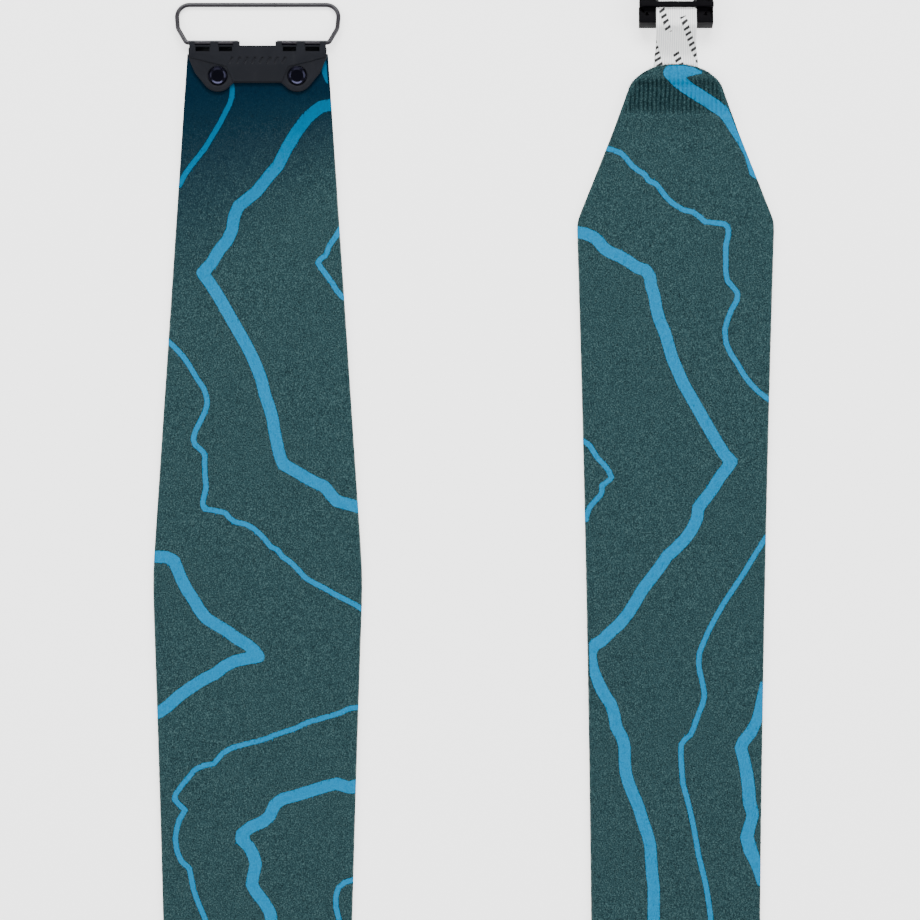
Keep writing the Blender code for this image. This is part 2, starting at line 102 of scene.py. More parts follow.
def edit_faces(piece: bpy.types.Object, height: float, facing: float) -> None:
    """Go into edit mode with only a piece's level faces at a height selected.

    Args:
        piece: The piece.
        height: Height of the faces.
        facing: 1 for faces that look up, -1 for faces that look down.
    """
    with editing(piece, "DESELECT"):
        pass
    for face in piece.data.polygons:
        face.select = facing * face.normal.z > 0.9 and abs(face.center.z - height) < 0.01 * MM
    bpy.ops.object.mode_set(mode="EDIT")
    bpy.ops.mesh.select_mode(type="FACE")


def apply_modifier(piece: bpy.types.Object, kind: str, **settings: object) -> None:
    """Add a modifier with its settings and apply it at once."""
    take(piece)
    step = piece.modifiers.new(kind.title(), kind)
    for name, value in settings.items():
        setattr(step, name, value)
    bpy.ops.object.modifier_apply(modifier=step.name)


def cut_away(piece: bpy.types.Object, cutter: bpy.types.Object) -> None:
    """Cut a piece by a cutter, which is then removed."""
    apply_modifier(piece, "BOOLEAN", operation="DIFFERENCE", object=cutter, solver="EXACT")
    bpy.data.objects.remove(cutter, do_unlink=True)


def settle(piece: bpy.types.Object) -> None:
    """Move a piece's place, turn and scale into its mesh."""
    take(piece)
    bpy.ops.object.transform_apply(location=True, rotation=True, scale=True)


def shade(piece: bpy.types.Object, angle: float = 40.0) -> None:
    """Shade a piece smooth but for the edges sharper than an angle in degrees."""
    take(piece)
    bpy.ops.object.shade_smooth_by_angle(angle=math.radians(angle))


def smooth(value: np.ndarray | float) -> np.ndarray:
    """An even rise from 0 to 1 with level ends."""
    value = np.clip(value, 0.0, 1.0)
    return value * value * (3 - 2 * value)


def add_object(name: str, data: bpy.types.ID) -> bpy.types.Object:
    """A new object in the scene for a mesh, a curve, a light or a camera."""
    piece = bpy.data.objects.new(name, data)
    bpy.context.scene.collection.objects.link(piece)
    return piece


def new_mesh(name: str, points: np.ndarray, faces: list) -> bpy.types.Object:
    """A mesh piece from its points and faces, linked to the scene.

    Args:
        name: The piece's name.
        points: Its points in the row frame, one in each row.
        faces: Its faces as runs of point numbers.

    Returns:
        The new object.
    """
    mesh = bpy.data.meshes.new(name)
    mesh.from_pydata(np.asarray(points).tolist(), [], faces)
    mesh.update()
    return add_object(name, mesh)


def store(piece: bpy.types.Object, name: str, values: np.ndarray) -> None:
    """Keep one number for each point of a piece, for its finish to read."""
    attribute = piece.data.attributes.new(name, "FLOAT", "POINT")
    attribute.data.foreach_set("value", np.asarray(values, np.float32))


def node_copy(
    node: str, name: str, bevel: float, segments: int = 3, square: Callable[[Vector], bool] | None = None
) -> bpy.types.Object:
    """A copy of a moulded or turned node, merged, with its edges rounded.

    Args:
        node: The node to copy.
        name: The new piece's name.
        bevel: Width of the rounding along its edges.
        segments: Steps in the rounding.
        square: Tells of a point whether the edges there stay square.

    Returns:
        The new piece.
    """
    piece = add_object(name, frame["nodes"][node].data.copy())
    piece.data.materials.clear()
    take(piece)
    bpy.ops.mesh.customdata_custom_splitnormals_clear()
    with editing(piece):
        bpy.ops.mesh.remove_doubles(threshold=WELD)
        bpy.ops.mesh.dissolve_limited(angle_limit=math.radians(1.0))
    weigh_edges(piece, 2.2 * bevel, square)
    apply_modifier(
        piece, "BEVEL", width=bevel, segments=segments, limit_method="WEIGHT", use_clamp_overlap=False
    )
    shade(piece)
    return piece


def weigh_edges(piece: bpy.types.Object, room: float, square: Callable[[Vector], bool] | None) -> None:
    """Weight the sharp edges of a piece that are to be bevelled.

    Args:
        piece: The piece.
        room: Length that an edge and the ones beside it must have.
        square: Tells of a point whether the edges there stay square.
    """
    shape = bmesh.new()
    shape.from_mesh(piece.data)
    weight = shape.edges.layers.float.new("bevel_weight_edge")
    for edge in shape.edges:
        if len(edge.link_faces) == 2 and edge.calc_face_angle() > math.radians(34):
            beside = {other for vertex in edge.verts for other in vertex.link_edges}
            kept = square is not None and any(square(vertex.co) for vertex in edge.verts)
            edge[weight] = float(not kept and min(other.calc_length() for other in beside) > room)
    shape.to_mesh(piece.data)
    shape.free()


def dress(
    piece: bpy.types.Object, finish: bpy.types.Material, slot: str, body: str | None, *nodes: str
) -> bpy.types.Object:
    """Give a finished piece its material and the body it rides on.

    Args:
        piece: The piece, with its place in its mesh.
        finish: Its material.
        slot: The record's material slot; not used.
        body: The body that it rides on, or None to leave it on no body.
        nodes: The nodes that it stands for.

    Returns:
        The same piece.
    """
    piece.data.materials.clear()
    piece.data.materials.append(finish)
    if body:
        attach(piece, body)
    if nodes:
        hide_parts(*nodes)
    triangles = sum(len(face.vertices) - 2 for face in piece.data.polygons)
    LOG.info("%s: %d triangles on %s", piece.name, triangles, body)
    return piece


def closed_band(rings: np.ndarray) -> list:
    """Faces of a closed body through rings of points, all of one count, with both ends capped.

    Args:
        rings: Points as an array of rings by points by three.

    Returns:
        The faces, as runs of numbers into the flattened points.
    """
    count, around = rings.shape[0], rings.shape[1]
    near = np.arange(count - 1)[:, None] * around + np.arange(around)[None, :]
    beside = np.arange(count - 1)[:, None] * around + (np.arange(around)[None, :] + 1) % around
    quads = np.stack([near, beside, beside + around, near + around], axis=-1).reshape(-1, 4)
    last = (count - 1) * around
    return quads.tolist() + [list(range(around))[::-1], list(range(last, last + around))]


def turn_outwards(piece: bpy.types.Object) -> None:
    """Point all the faces of a closed piece outwards."""
    with editing(piece):
        bpy.ops.mesh.normals_make_consistent(inside=False)


# ------------------------------------------------------------------------------------ the finishes


def paint(red: int, green: int, blue: int) -> tuple[float, float, float, float]:
    """A display colour, 0 to 255 a channel, as the linear colour that a shader takes."""

    def linear(level: int) -> float:
        """One channel as linear light."""
        share = level / 255
        return share / 12.92 if share <= 0.04045 else ((share + 0.055) / 1.055) ** 2.4

    return linear(red), linear(green), linear(blue), 1.0


class Recipe:
    """A material's nodes, laid out one after another."""

    def __init__(self, name: str, roughness: float, metallic: float = 0.0, **sockets: object) -> None:
        """Start a material and set the shader's even values.

        Args:
            name: The material's name.
            roughness: The shader's roughness.
            metallic: The shader's metallic value.
            sockets: Other even values of the shader, with underscores for spaces.
        """
        self.material = bpy.data.materials.new(name)
        self.material.use_nodes = True
        self.nodes = self.material.node_tree.nodes
        self.links = self.material.node_tree.links
        self.shader = self.nodes["Principled BSDF"]
        self.set("Roughness", roughness)
        self.set("Metallic", metallic)
        for socket, value in sockets.items():
            self.set(socket.replace("_", " "), value)
        self.place = self.nodes.new("ShaderNodeTexCoord").outputs["Object"]

    def set(self, socket: str, source: object) -> None:
        """Feed one of the shader's sockets."""
        self.feed(self.shader.inputs[socket], source)

    def feed(self, socket: bpy.types.NodeSocket, source: object) -> None:
        """Link a socket to another one, or give it a value."""
        if isinstance(source, bpy.types.NodeSocket):
            self.links.new(source, socket)
        elif source is not None:
            socket.default_value = source

    def add(self, kind: str, *sources: object, **settings: object) -> bpy.types.Node:
        """Add a node with its settings, its inputs fed in order."""
        node = self.nodes.new(kind)
        for name, value in settings.items():
            setattr(node, name, value)
        for socket, source in zip(node.inputs, sources):
            self.feed(socket, source)
        return node

    def math(self, operation: str, *sources: object) -> bpy.types.NodeSocket:
        """A sum of one to three numbers."""
        return self.add("ShaderNodeMath", *sources, operation=operation).outputs[0]

    def attribute(self, name: str) -> bpy.types.NodeSocket:
        """A number kept on the piece's points."""
        return self.add("ShaderNodeAttribute", attribute_name=name).outputs["Fac"]

    def stretched(self, scale: tuple[float, float, float], turn: float = 0.0) -> bpy.types.NodeSocket:
        """The object's coordinates, scaled along each axis and turned about Z."""
        node = self.add("ShaderNodeMapping", self.place)
        node.inputs["Scale"].default_value = scale
        node.inputs["Rotation"].default_value = (0.0, 0.0, turn)
        return node.outputs[0]

    def noise(self, scale: float, detail: float = 2.0, vector: object = None) -> bpy.types.NodeSocket:
        """Even noise, about 0.5, with a number of features to the metre."""
        node = self.add("ShaderNodeTexNoise", vector or self.place)
        node.inputs["Scale"].default_value = scale
        node.inputs["Detail"].default_value = detail
        return node.outputs["Fac"]

    def cells(self, scale: float, vector: object = None) -> bpy.types.NodeSocket:
        """Distance to the nearest of many scattered points."""
        node = self.add("ShaderNodeTexVoronoi", vector or self.place)
        node.inputs["Scale"].default_value = scale
        return node.outputs["Distance"]

    def rise(self, source: object, low: float, high: float) -> bpy.types.NodeSocket:
        """A smooth step from 0 at low to 1 at high, or down where high is the lower."""
        node = self.add("ShaderNodeMapRange", source, interpolation_type="SMOOTHSTEP")
        flip = low > high
        node.inputs["From Min"].default_value = min(low, high)
        node.inputs["From Max"].default_value = max(low, high)
        node.inputs["To Min"].default_value = 1.0 if flip else 0.0
        node.inputs["To Max"].default_value = 0.0 if flip else 1.0
        return node.outputs[0]

    def mix(self, share: object, first: object, second: object) -> bpy.types.NodeSocket:
        """Two colours mixed by a share."""
        node = self.add("ShaderNodeMix", data_type="RGBA")
        for index, source in ((0, share), (6, first), (7, second)):
            self.feed(node.inputs[index], source)
        return node.outputs[2]

    def bump(self, height: object, depth: float, strength: float = 1.0, below: object = None) -> None:
        """Turn a height of 0 to 1 into relief of a depth, over another relief if there is one."""
        node = self.add("ShaderNodeBump")
        self.feed(node.inputs["Height"], height)
        self.feed(node.inputs["Distance"], depth)
        self.feed(node.inputs["Strength"], strength)
        self.feed(node.inputs["Normal"], below)
        self.set("Normal", node.outputs[0])


@dataclass(frozen=True)
class Plush:
    """Short mixed pile, printed with bright contour lines, with shade painted on: darker towards the tip
    and in the rib grooves.
    """

    deep: tuple = (0.0080, 0.0200, 0.0240, 1.0)
    body: tuple = (0.0180, 0.0430, 0.0480, 1.0)
    bright: tuple = (0.0470, 0.0930, 0.0950, 1.0)
    # painted shade: the pile's colour, darker towards the tip
    tip: tuple = (0.0010, 0.0090, 0.0210, 1.0)
    ink: tuple = (0.0000, 0.1720, 0.3550, 1.0)
    deep_ink: tuple = (0.0000, 0.1380, 0.2900, 1.0)
    # painted shade: the ink's colour in the rib grooves
    painted_groove_shade_ink: tuple = (0.0000, 0.1050, 0.2250, 1.0)
    # painted shade: the ink's colour, darker towards the tip
    painted_tip_shade_ink: tuple = (0.0000, 0.0640, 0.1300, 1.0)
    # painted shade: the pile's colour in the rib grooves
    painted_groove_shade: tuple = (0.0026, 0.0100, 0.0125, 1.0)
    fray: tuple = (0.1500, 0.1900, 0.1850, 1.0)
    print_blur: float = 0.16 * MM
    print_wander: float = 0.7 * MM
    relief: float = 0.6 * MM

    def make(self) -> bpy.types.Material:
        """The material, which reads the pile's print_edge, painted_tip_shade, groove, tone and fray."""
        recipe = Recipe(
            "plush_pile", 0.95, Specular_IOR_Level=0.01, Sheen_Weight=0.008, Sheen_Roughness=0.4
        )
        tone = recipe.attribute("tone")
        fine = recipe.noise(1350, 3.0)
        broad = recipe.noise(260, 2.0)
        streak = recipe.noise(2400, 2.0, recipe.stretched((1.0, 0.45, 1.0)))
        level = recipe.math("MULTIPLY_ADD", broad, 0.09, recipe.math("MULTIPLY", fine, 0.56))
        level = recipe.math("MULTIPLY_ADD", streak, 0.35, level)
        level = recipe.math("ADD", level, tone)
        ground = recipe.mix(recipe.rise(level, 0.39, 0.51), self.deep, self.body)
        ground = recipe.mix(recipe.rise(level, 0.52, 0.64), ground, self.bright)
        ink = recipe.mix(recipe.rise(level, 0.36, 0.6), self.deep_ink, self.ink)
        ground = recipe.mix(recipe.attribute("fray"), ground, self.fray)
        # Painted shade in the grooves between the sewn ribs, its strength varied at random.
        groove_shade_strength = recipe.math("MULTIPLY_ADD", recipe.noise(430, 2.0), 1.5, 0.15)
        groove = recipe.math("MULTIPLY", recipe.attribute("groove"), groove_shade_strength)
        ground = recipe.mix(groove, ground, self.painted_groove_shade)
        ink = recipe.mix(recipe.math("MULTIPLY", groove, 0.7), ink, self.painted_groove_shade_ink)
        # Painted shade, darker towards the tip, on both the pile and the ink.
        painted_tip_shade_share = recipe.attribute("painted_tip_shade")
        ground = recipe.mix(recipe.math("MULTIPLY", painted_tip_shade_share, 0.94), ground, self.tip)
        ink = recipe.mix(recipe.math("MULTIPLY", painted_tip_shade_share, 0.9), ink, self.painted_tip_shade_ink)
        wander = recipe.noise(900, 2.0)
        wander = recipe.math("MULTIPLY_ADD", wander, self.print_wander, -self.print_wander / 2)
        edge = recipe.math("ADD", recipe.attribute("print_edge"), wander)
        printed = recipe.rise(edge, self.print_blur, -self.print_blur)
        recipe.set("Base Color", recipe.mix(printed, ground, ink))
        recipe.bump(level, self.relief, 0.7)
        return recipe.material


@dataclass(frozen=True)
class Backing:
    """The woven backing under the pile, and the patch of the same cloth."""

    thread: tuple = paint(52, 60, 66)
    # painted shade: the colour of the gaps between threads
    gap: tuple = paint(22, 27, 31)
    threads: float = 1500.0

    def make(self) -> bpy.types.Material:
        """The material, a plain weave on the object's coordinates."""
        recipe = Recipe("backing_cloth", 0.78)
        split = recipe.add("ShaderNodeSeparateXYZ", recipe.place)
        waves = []
        for axis in (0, 1):
            turns = recipe.math("MULTIPLY", split.outputs[axis], 2 * math.pi * self.threads)
            waves.append(recipe.math("SINE", turns))
        weave = recipe.math("MULTIPLY_ADD", recipe.math("MULTIPLY", *waves), 0.5, 0.5)
        level = recipe.math("MULTIPLY_ADD", recipe.noise(400), 0.4, recipe.math("MULTIPLY", weave, 0.6))
        # Painted shade in the weave's gaps between threads, with random tone mixed in.
        recipe.set("Base Color", recipe.mix(level, self.gap, self.thread))
        recipe.bump(weave, 0.15 * MM, 0.6)
        return recipe.material


@dataclass(frozen=True)
class Glue:
    """The tacky adhesive coat on the underside."""

    clear: tuple = paint(190, 184, 160)
    dusty: tuple = paint(150, 146, 130)

    def make(self) -> bpy.types.Material:
        """The material, slightly pebbled and uneven."""
        recipe = Recipe("adhesive_coat", 0.38, Coat_Weight=0.25, Coat_Roughness=0.3)
        uneven = recipe.noise(60, 4.0)
        recipe.set("Base Color", recipe.mix(recipe.rise(uneven, 0.35, 0.7), self.clear, self.dusty))
        recipe.set("Roughness", recipe.math("MULTIPLY_ADD", uneven, 0.3, 0.25))
        recipe.bump(recipe.cells(700), 0.12 * MM, 0.5)
        return recipe.material


@dataclass(frozen=True)
class MouldedPlastic:
    """Injection-moulded nylon with a fine spark-eroded grain and faint handling wear."""

    name: str = "moulded_black"
    body: tuple = (0.0040, 0.0048, 0.0078, 1.0)
    worn: tuple = (0.0088, 0.0094, 0.0120, 1.0)
    roughness: float = 0.46
    gloss: float = 0.15
    grain: float = 2600.0

    def make(self) -> bpy.types.Material:
        """The material, grained all over."""
        recipe = Recipe(self.name, self.roughness, Specular_IOR_Level=self.gloss)
        grain = recipe.noise(self.grain, 3.0)
        cloudy = recipe.noise(130, 3.0)
        scuff = recipe.rise(recipe.noise(380, 4.0, recipe.stretched((1.0, 0.25, 1.0), 0.5)), 0.6, 0.78)
        colour = recipe.mix(recipe.math("MULTIPLY", scuff, 0.4), self.body, self.worn)
        recipe.set("Base Color", recipe.mix(recipe.math("MULTIPLY", grain, 0.25), colour, self.worn))
        rough = recipe.math("MULTIPLY_ADD", cloudy, 0.16, self.roughness - 0.08)
        recipe.set("Roughness", recipe.math("MULTIPLY_ADD", scuff, 0.1, rough))
        recipe.bump(grain, 0.06 * MM, 0.5)
        return recipe.material


@dataclass(frozen=True)
class Metal:
    """Bare or blackened metal with fine turning marks."""

    name: str
    body: tuple
    roughness: float
    metallic: float = 1.0
    marks: float = 0.012

    def make(self) -> bpy.types.Material:
        """The material, with its roughness and relief broken by fine scratches."""
        recipe = Recipe(self.name, self.roughness, self.metallic)
        marks = recipe.noise(1800, 3.0, recipe.stretched((1.0, 1.0, 5.0)))
        cloudy = recipe.noise(240, 2.0)
        darker = tuple(0.75 * channel for channel in self.body[:3]) + (1.0,)
        recipe.set("Base Color", recipe.mix(cloudy, darker, self.body))
        recipe.set("Roughness", recipe.math("MULTIPLY_ADD", marks, 0.14, self.roughness - 0.07))
        recipe.bump(marks, self.marks * MM, 0.6)
        return recipe.material


@dataclass(frozen=True)
class ElasticWebbing:
    """White woven elastic with lengthwise ribs and slanting rows of plain black dashes."""

    crest: tuple = paint(252, 252, 251)
    # painted shade: the colour of the weave's hollows
    groove: tuple = paint(214, 217, 219)
    dye: tuple = (0.004, 0.004, 0.005, 1.0)
    ribs: float = 800.0
    picks: float = 1400.0
    lean: float = math.radians(17.5)
    row_pitch: float = 10.2 * MM
    row_width: float = 3.7 * MM
    row_stagger: float = 19 * MM
    dash_pitch: float = 3.5 * MM
    dash_run: float = 1.7 * MM
    dash_slant: float = 0.35
    group_pitch: float = 42 * MM
    group_run: float = 29.4 * MM
    blur: float = 0.12 * MM

    def make(self) -> bpy.types.Material:
        """The material, on the strap's own UV map in metres across and along."""
        recipe = Recipe("elastic_webbing", 0.82, Sheen_Weight=0.15)
        uv = recipe.nodes.new("ShaderNodeTexCoord").outputs["UV"]
        split = recipe.add("ShaderNodeSeparateXYZ", uv)
        across, along = split.outputs[0], split.outputs[1]
        rib = recipe.math("SINE", recipe.math("MULTIPLY", across, 2 * math.pi * self.ribs))
        pick = recipe.math("SINE", recipe.math("MULTIPLY", along, 2 * math.pi * self.picks))
        weave = recipe.math("MULTIPLY_ADD", recipe.math("MULTIPLY_ADD", pick, 0.35, rib), 0.37, 0.5)
        # Painted shade: the weave's hollows are coloured darker than its crests.
        cloth = recipe.mix(recipe.rise(weave, 0.1, 0.6), self.groove, self.crest)
        cosine, sine = math.cos(self.lean), math.sin(self.lean)
        run = recipe.math("MULTIPLY_ADD", along, cosine, recipe.math("MULTIPLY", across, sine))
        side = recipe.math("MULTIPLY_ADD", along, -sine, recipe.math("MULTIPLY", across, cosine))
        slant = recipe.math("MULTIPLY_ADD", side, self.dash_slant, run)
        dash = self.in_window(recipe, slant, self.dash_pitch, self.dash_run)
        row = self.in_window(recipe, side, self.row_pitch, self.row_width)
        rank = recipe.math("ROUND", recipe.math("DIVIDE", side, self.row_pitch))
        stagger = recipe.math("MULTIPLY", rank, self.row_stagger)
        group = self.in_window(recipe, recipe.math("ADD", run, stagger), self.group_pitch, self.group_run)
        marks = recipe.math("MULTIPLY", recipe.math("MULTIPLY", dash, row), group)
        ragged = recipe.rise(recipe.noise(1600, 2.0, uv), 0.12, 0.36)
        marks = recipe.math("MULTIPLY", marks, recipe.rise(recipe.attribute("upper_face"), 0.4, 0.6))
        recipe.set("Base Color", recipe.mix(recipe.math("MULTIPLY", marks, ragged), cloth, self.dye))
        recipe.bump(weave, 0.25 * MM, 0.5)
        return recipe.material

    def in_window(
        self, recipe: Recipe, place: object, pitch: float, width: float
    ) -> bpy.types.NodeSocket:
        """1 where a place is within a window that repeats at a pitch, with soft ends."""
        away = recipe.math("PINGPONG", place, pitch / 2)
        return recipe.rise(away, width / 2 + self.blur, width / 2 - self.blur)


@dataclass(frozen=True)
class Finishes:
    """Every material of the pair, made once."""

    plush: bpy.types.Material = field(default_factory=lambda: Plush().make())
    backing: bpy.types.Material = field(default_factory=lambda: Backing().make())
    glue: bpy.types.Material = field(default_factory=lambda: Glue().make())
    plastic: bpy.types.Material = field(default_factory=lambda: MouldedPlastic().make())
    hook: bpy.types.Material = field(
        default_factory=lambda: MouldedPlastic(
            "hook_black", (0.0005, 0.0004, 0.0011, 1.0), (0.0018, 0.0016, 0.0026, 1.0), 0.6, 0.045
        ).make()
    )
    stud: bpy.types.Material = field(
        default_factory=lambda: Metal("stud_black", (0.0105, 0.0105, 0.0205, 1.0), 0.2, 0.95).make()
    )
    wire: bpy.types.Material = field(
        default_factory=lambda: Metal("wire_coat", (0.0042, 0.0028, 0.0078, 1.0), 0.3, 0.1, 0.006).make()
    )
    steel: bpy.types.Material = field(
        default_factory=lambda: Metal("bright_steel", paint(126, 128, 132), 0.3).make()
    )
    webbing: bpy.types.Material = field(default_factory=lambda: ElasticWebbing().make())


# ---------------------------------------------------------------------------------- place and plan


class Side(Enum):
    """The two skins, by the prefix of their nodes."""

    LEFT = "left"
    RIGHT = "right"


@dataclass(frozen=True)
class Place:
    """Where one skin lies: its hinge line's middle, and which way its tip points along Y."""

    side: Side
    hinge: Vector
    facing: float

    @classmethod
    def read(cls, side: Side) -> "Place":
        """The place of a side's skin, from its bail hinge and its strap."""
        joint = next(j for j in frame["joints"] if j["name"] == f"{side.value}_bail_hinge")
        hinge = Vector(joint["pos_m"])
        facing = 1.0 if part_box(f"{side.value}_strap")[0].y < hinge.y else -1.0
        return cls(side, hinge, facing)

    def node(self, name: str) -> str:
        """A node's or body's full name on this side."""
        return f"{self.side.value}_{name}"

    def draws(self, seed: int) -> np.random.Generator:
        """This side's own run of random draws."""
        return np.random.default_rng(seed + (self.side is Side.RIGHT))

    def to_row(self, points: np.ndarray) -> np.ndarray:
        """Points of the skin's own frame, in the row frame."""
        moved = np.array(points, float)
        moved[..., 0] = self.hinge.x + self.facing * moved[..., 0]
        moved[..., 1] = self.hinge.y + self.facing * moved[..., 1]
        return moved

    def from_row(self, points: np.ndarray) -> np.ndarray:
        """Points of the row frame, in the skin's own frame."""
        moved = np.array(points, float)
        moved[..., 0] = self.facing * (moved[..., 0] - self.hinge.x)
        moved[..., 1] = self.facing * (moved[..., 1] - self.hinge.y)
        return moved

    def matrix(self) -> Matrix:
        """The skin's own frame as a matrix in the row frame."""
        turn = Matrix.Rotation(0.0 if self.facing > 0 else math.pi, 4, "Z")
        return Matrix.Translation((self.hinge.x, self.hinge.y, 0.0)) @ turn

    def mesh(self, name: str, points: np.ndarray, faces: list) -> bpy.types.Object:
        """A mesh piece of this side, from points in the skin's own frame."""
        return new_mesh(self.node(name), self.to_row(points), faces)

    def band(self, name: str, rings: np.ndarray) -> bpy.types.Object:
        """A closed piece of this side, through rings of points in the skin's own frame."""
        return self.mesh(name, rings.reshape(-1, 3), closed_band(rings))

    def copy(self, node: str, name: str, bevel: float, *steps: int, **how: object) -> bpy.types.Object:
        """A rounded copy of one of this side's nodes."""
        return node_copy(self.node(node), self.node(name), bevel, *steps, **how)

    def dress(
        self, piece: bpy.types.Object, finish: bpy.types.Material, slot: str, body: str | None, *nodes: str
    ) -> bpy.types.Object:
        """Dress a piece, with its body and its nodes named without their side."""
        return dress(piece, finish, slot, body and self.node(body), *map(self.node, nodes))


@dataclass(frozen=True)
class Strip:
    """The laminate's plan and heights along its length."""

    length: float
    front: float = 6.5 * MM
    tip_half: float = 39.6 * MM
    shoulder_half: float = 59.9 * MM
    shoulder_at: float = 305 * MM
    waist_half: float = 47.3 * MM
    waist_at: float = 1000 * MM
    tail_half: float = 56.3 * MM
    tail_at: float = 1572 * MM
    tail_taper: float = 0.4
    nose_length: float = 18 * MM
    nose_half: float = 27.6 * MM
    softness: float = 0.6 * MM
    ease_from: float = 13 * MM
    ease_to: float = 40 * MM
    ease_half: float = 26.5 * MM
    ease_slope: float = 0.366
    glue: float = 0.5 * MM
    gap: float = 0.3 * MM
    backing: float = 0.5 * MM
    pile: float = 1.5 * MM
    clamped_pile: float = 0.9 * MM
    seam_pile: float = 1.9 * MM
    fold_pile: float = 2.9 * MM
    seam_length: float = 34 * MM
    fold_length: float = 13 * MM
    clamp_end: float = 30 * MM
    clamp_ramp_end: float = 78 * MM
    tip_lift: float = 1.6 * MM
    tail_lift: float = 3 * MM
    tail_lift_length: float = 110 * MM
    glue_stop: float = 31 * MM
    strap_thick: float = 1.5 * MM
    strap_flare: float = 13.8 * MM
    arch_length: float = 41 * MM
    arch_ramp: float = 10 * MM
    patch_length: float = 30.5 * MM
    patch_ramp: float = 5 * MM

    def half_width(self, t: np.ndarray) -> np.ndarray:
        """Half the strip's width at distances behind the hinge line."""
        t = np.asarray(t, float)
        d = self.length - t
        tip = self.tip_half + (self.shoulder_half - self.tip_half) * t / self.shoulder_at
        behind = t > self.waist_at
        rise = np.where(behind, self.tail_half, self.shoulder_half) - self.waist_half
        reach = np.where(behind, self.tail_at - self.waist_at, self.waist_at - self.shoulder_at)
        sidecut = self.waist_half + rise * ((t - self.waist_at) / reach) ** 2
        taper = self.nose_half + self.tail_taper * (d - self.nose_length)
        total = sum(np.exp(-edge / self.softness) for edge in (tip, sidecut, taper))
        nose = self.nose_half * np.sqrt(np.clip(1 - (1 - d / self.nose_length) ** 2, 0, 1))
        half = np.where(d < self.nose_length, nose, -self.softness * np.log(total))
        eased = self.ease_half + self.ease_slope * (d - self.ease_from)
        return np.where((d > self.ease_from) & (d < self.ease_to), np.maximum(half, eased), half)

    def lift(self, t: np.ndarray) -> np.ndarray:
        """Height of the laminate's underside."""
        tip = self.tip_lift * (1 - smooth((t - self.clamp_end) / (self.clamp_ramp_end - self.clamp_end)))
        tail = np.maximum(0.0, 1 - (self.length - t) / self.tail_lift_length)
        return tip + self.tail_lift * tail**2

    def pile_height(self, t: np.ndarray) -> np.ndarray:
        """Thickness of the pile layer, pressed at the tip and folded double at the tail."""
        d = self.length - t
        freed = smooth((t - self.clamp_end) / (10 * MM))
        height = self.clamped_pile + (self.pile - self.clamped_pile) * freed
        height = height + (self.seam_pile - self.pile) * smooth((self.seam_length - d) / (5 * MM))
        height = height + (self.fold_pile - self.seam_pile) * smooth((self.fold_length - d) / (4 * MM))
        return height - (self.fold_pile - self.pile) * smooth((3 * MM - d) / (4 * MM))

    def pile_floor(self, t: np.ndarray, x: np.ndarray, rest: float) -> np.ndarray:
        """Height of the pile layer's underside, which arches over the strap's sewn end.

        Args:
            t: Distances behind the hinge line.
            x: Distances across, of the same shape.
            rest: Height above the laminate's underside where the layer lies on the backing.

        Returns:
            The heights.
        """
        d, half = self.length - t, self.half_width(t)
        over_strap = self.glue + 2 * self.gap + self.strap_thick
        over_patch = self.glue + self.gap
        middle = rest + (over_strap - rest) * smooth((self.arch_length - d) / self.arch_ramp)
        beside = rest + (over_patch - rest) * smooth((self.patch_length - d) / self.patch_ramp)
        inner = np.minimum(self.strap_flare + 0.6 * MM, half - 0.8 * MM)
        outer = np.minimum(self.strap_flare + 1.8 * MM, half - 0.4 * MM)
        beside = np.where(half < self.strap_flare + 5 * MM, middle, beside)
        return self.lift(t) + middle + (beside - middle) * smooth((np.abs(x) - inner) / (outer - inner))

    def pile_top(self, t: np.ndarray, x: np.ndarray, rest: float) -> np.ndarray:
        """Height of the pile's surface, which slopes from the strap's arch to the sides."""
        half = self.half_width(t)
        inner = np.minimum(self.strap_flare + 0.6 * MM, half - 0.8 * MM)
        middle = self.pile_floor(t, np.zeros_like(x), rest)
        side = self.pile_floor(t, half, rest)
        share = smooth((np.abs(x) - inner) / np.maximum(half - inner, 0.1 * MM))
        return middle + (side - middle) * share + self.pile_height(t)

    def area(self) -> float:
        """The strip's flat area."""
        t = np.linspace(self.front, self.length, 4000)
        return float(np.trapz(2 * self.half_width(t), t))


# --------------------------------------------------------------------------------------- the print

THICK = 3.35
THIN = 1.42

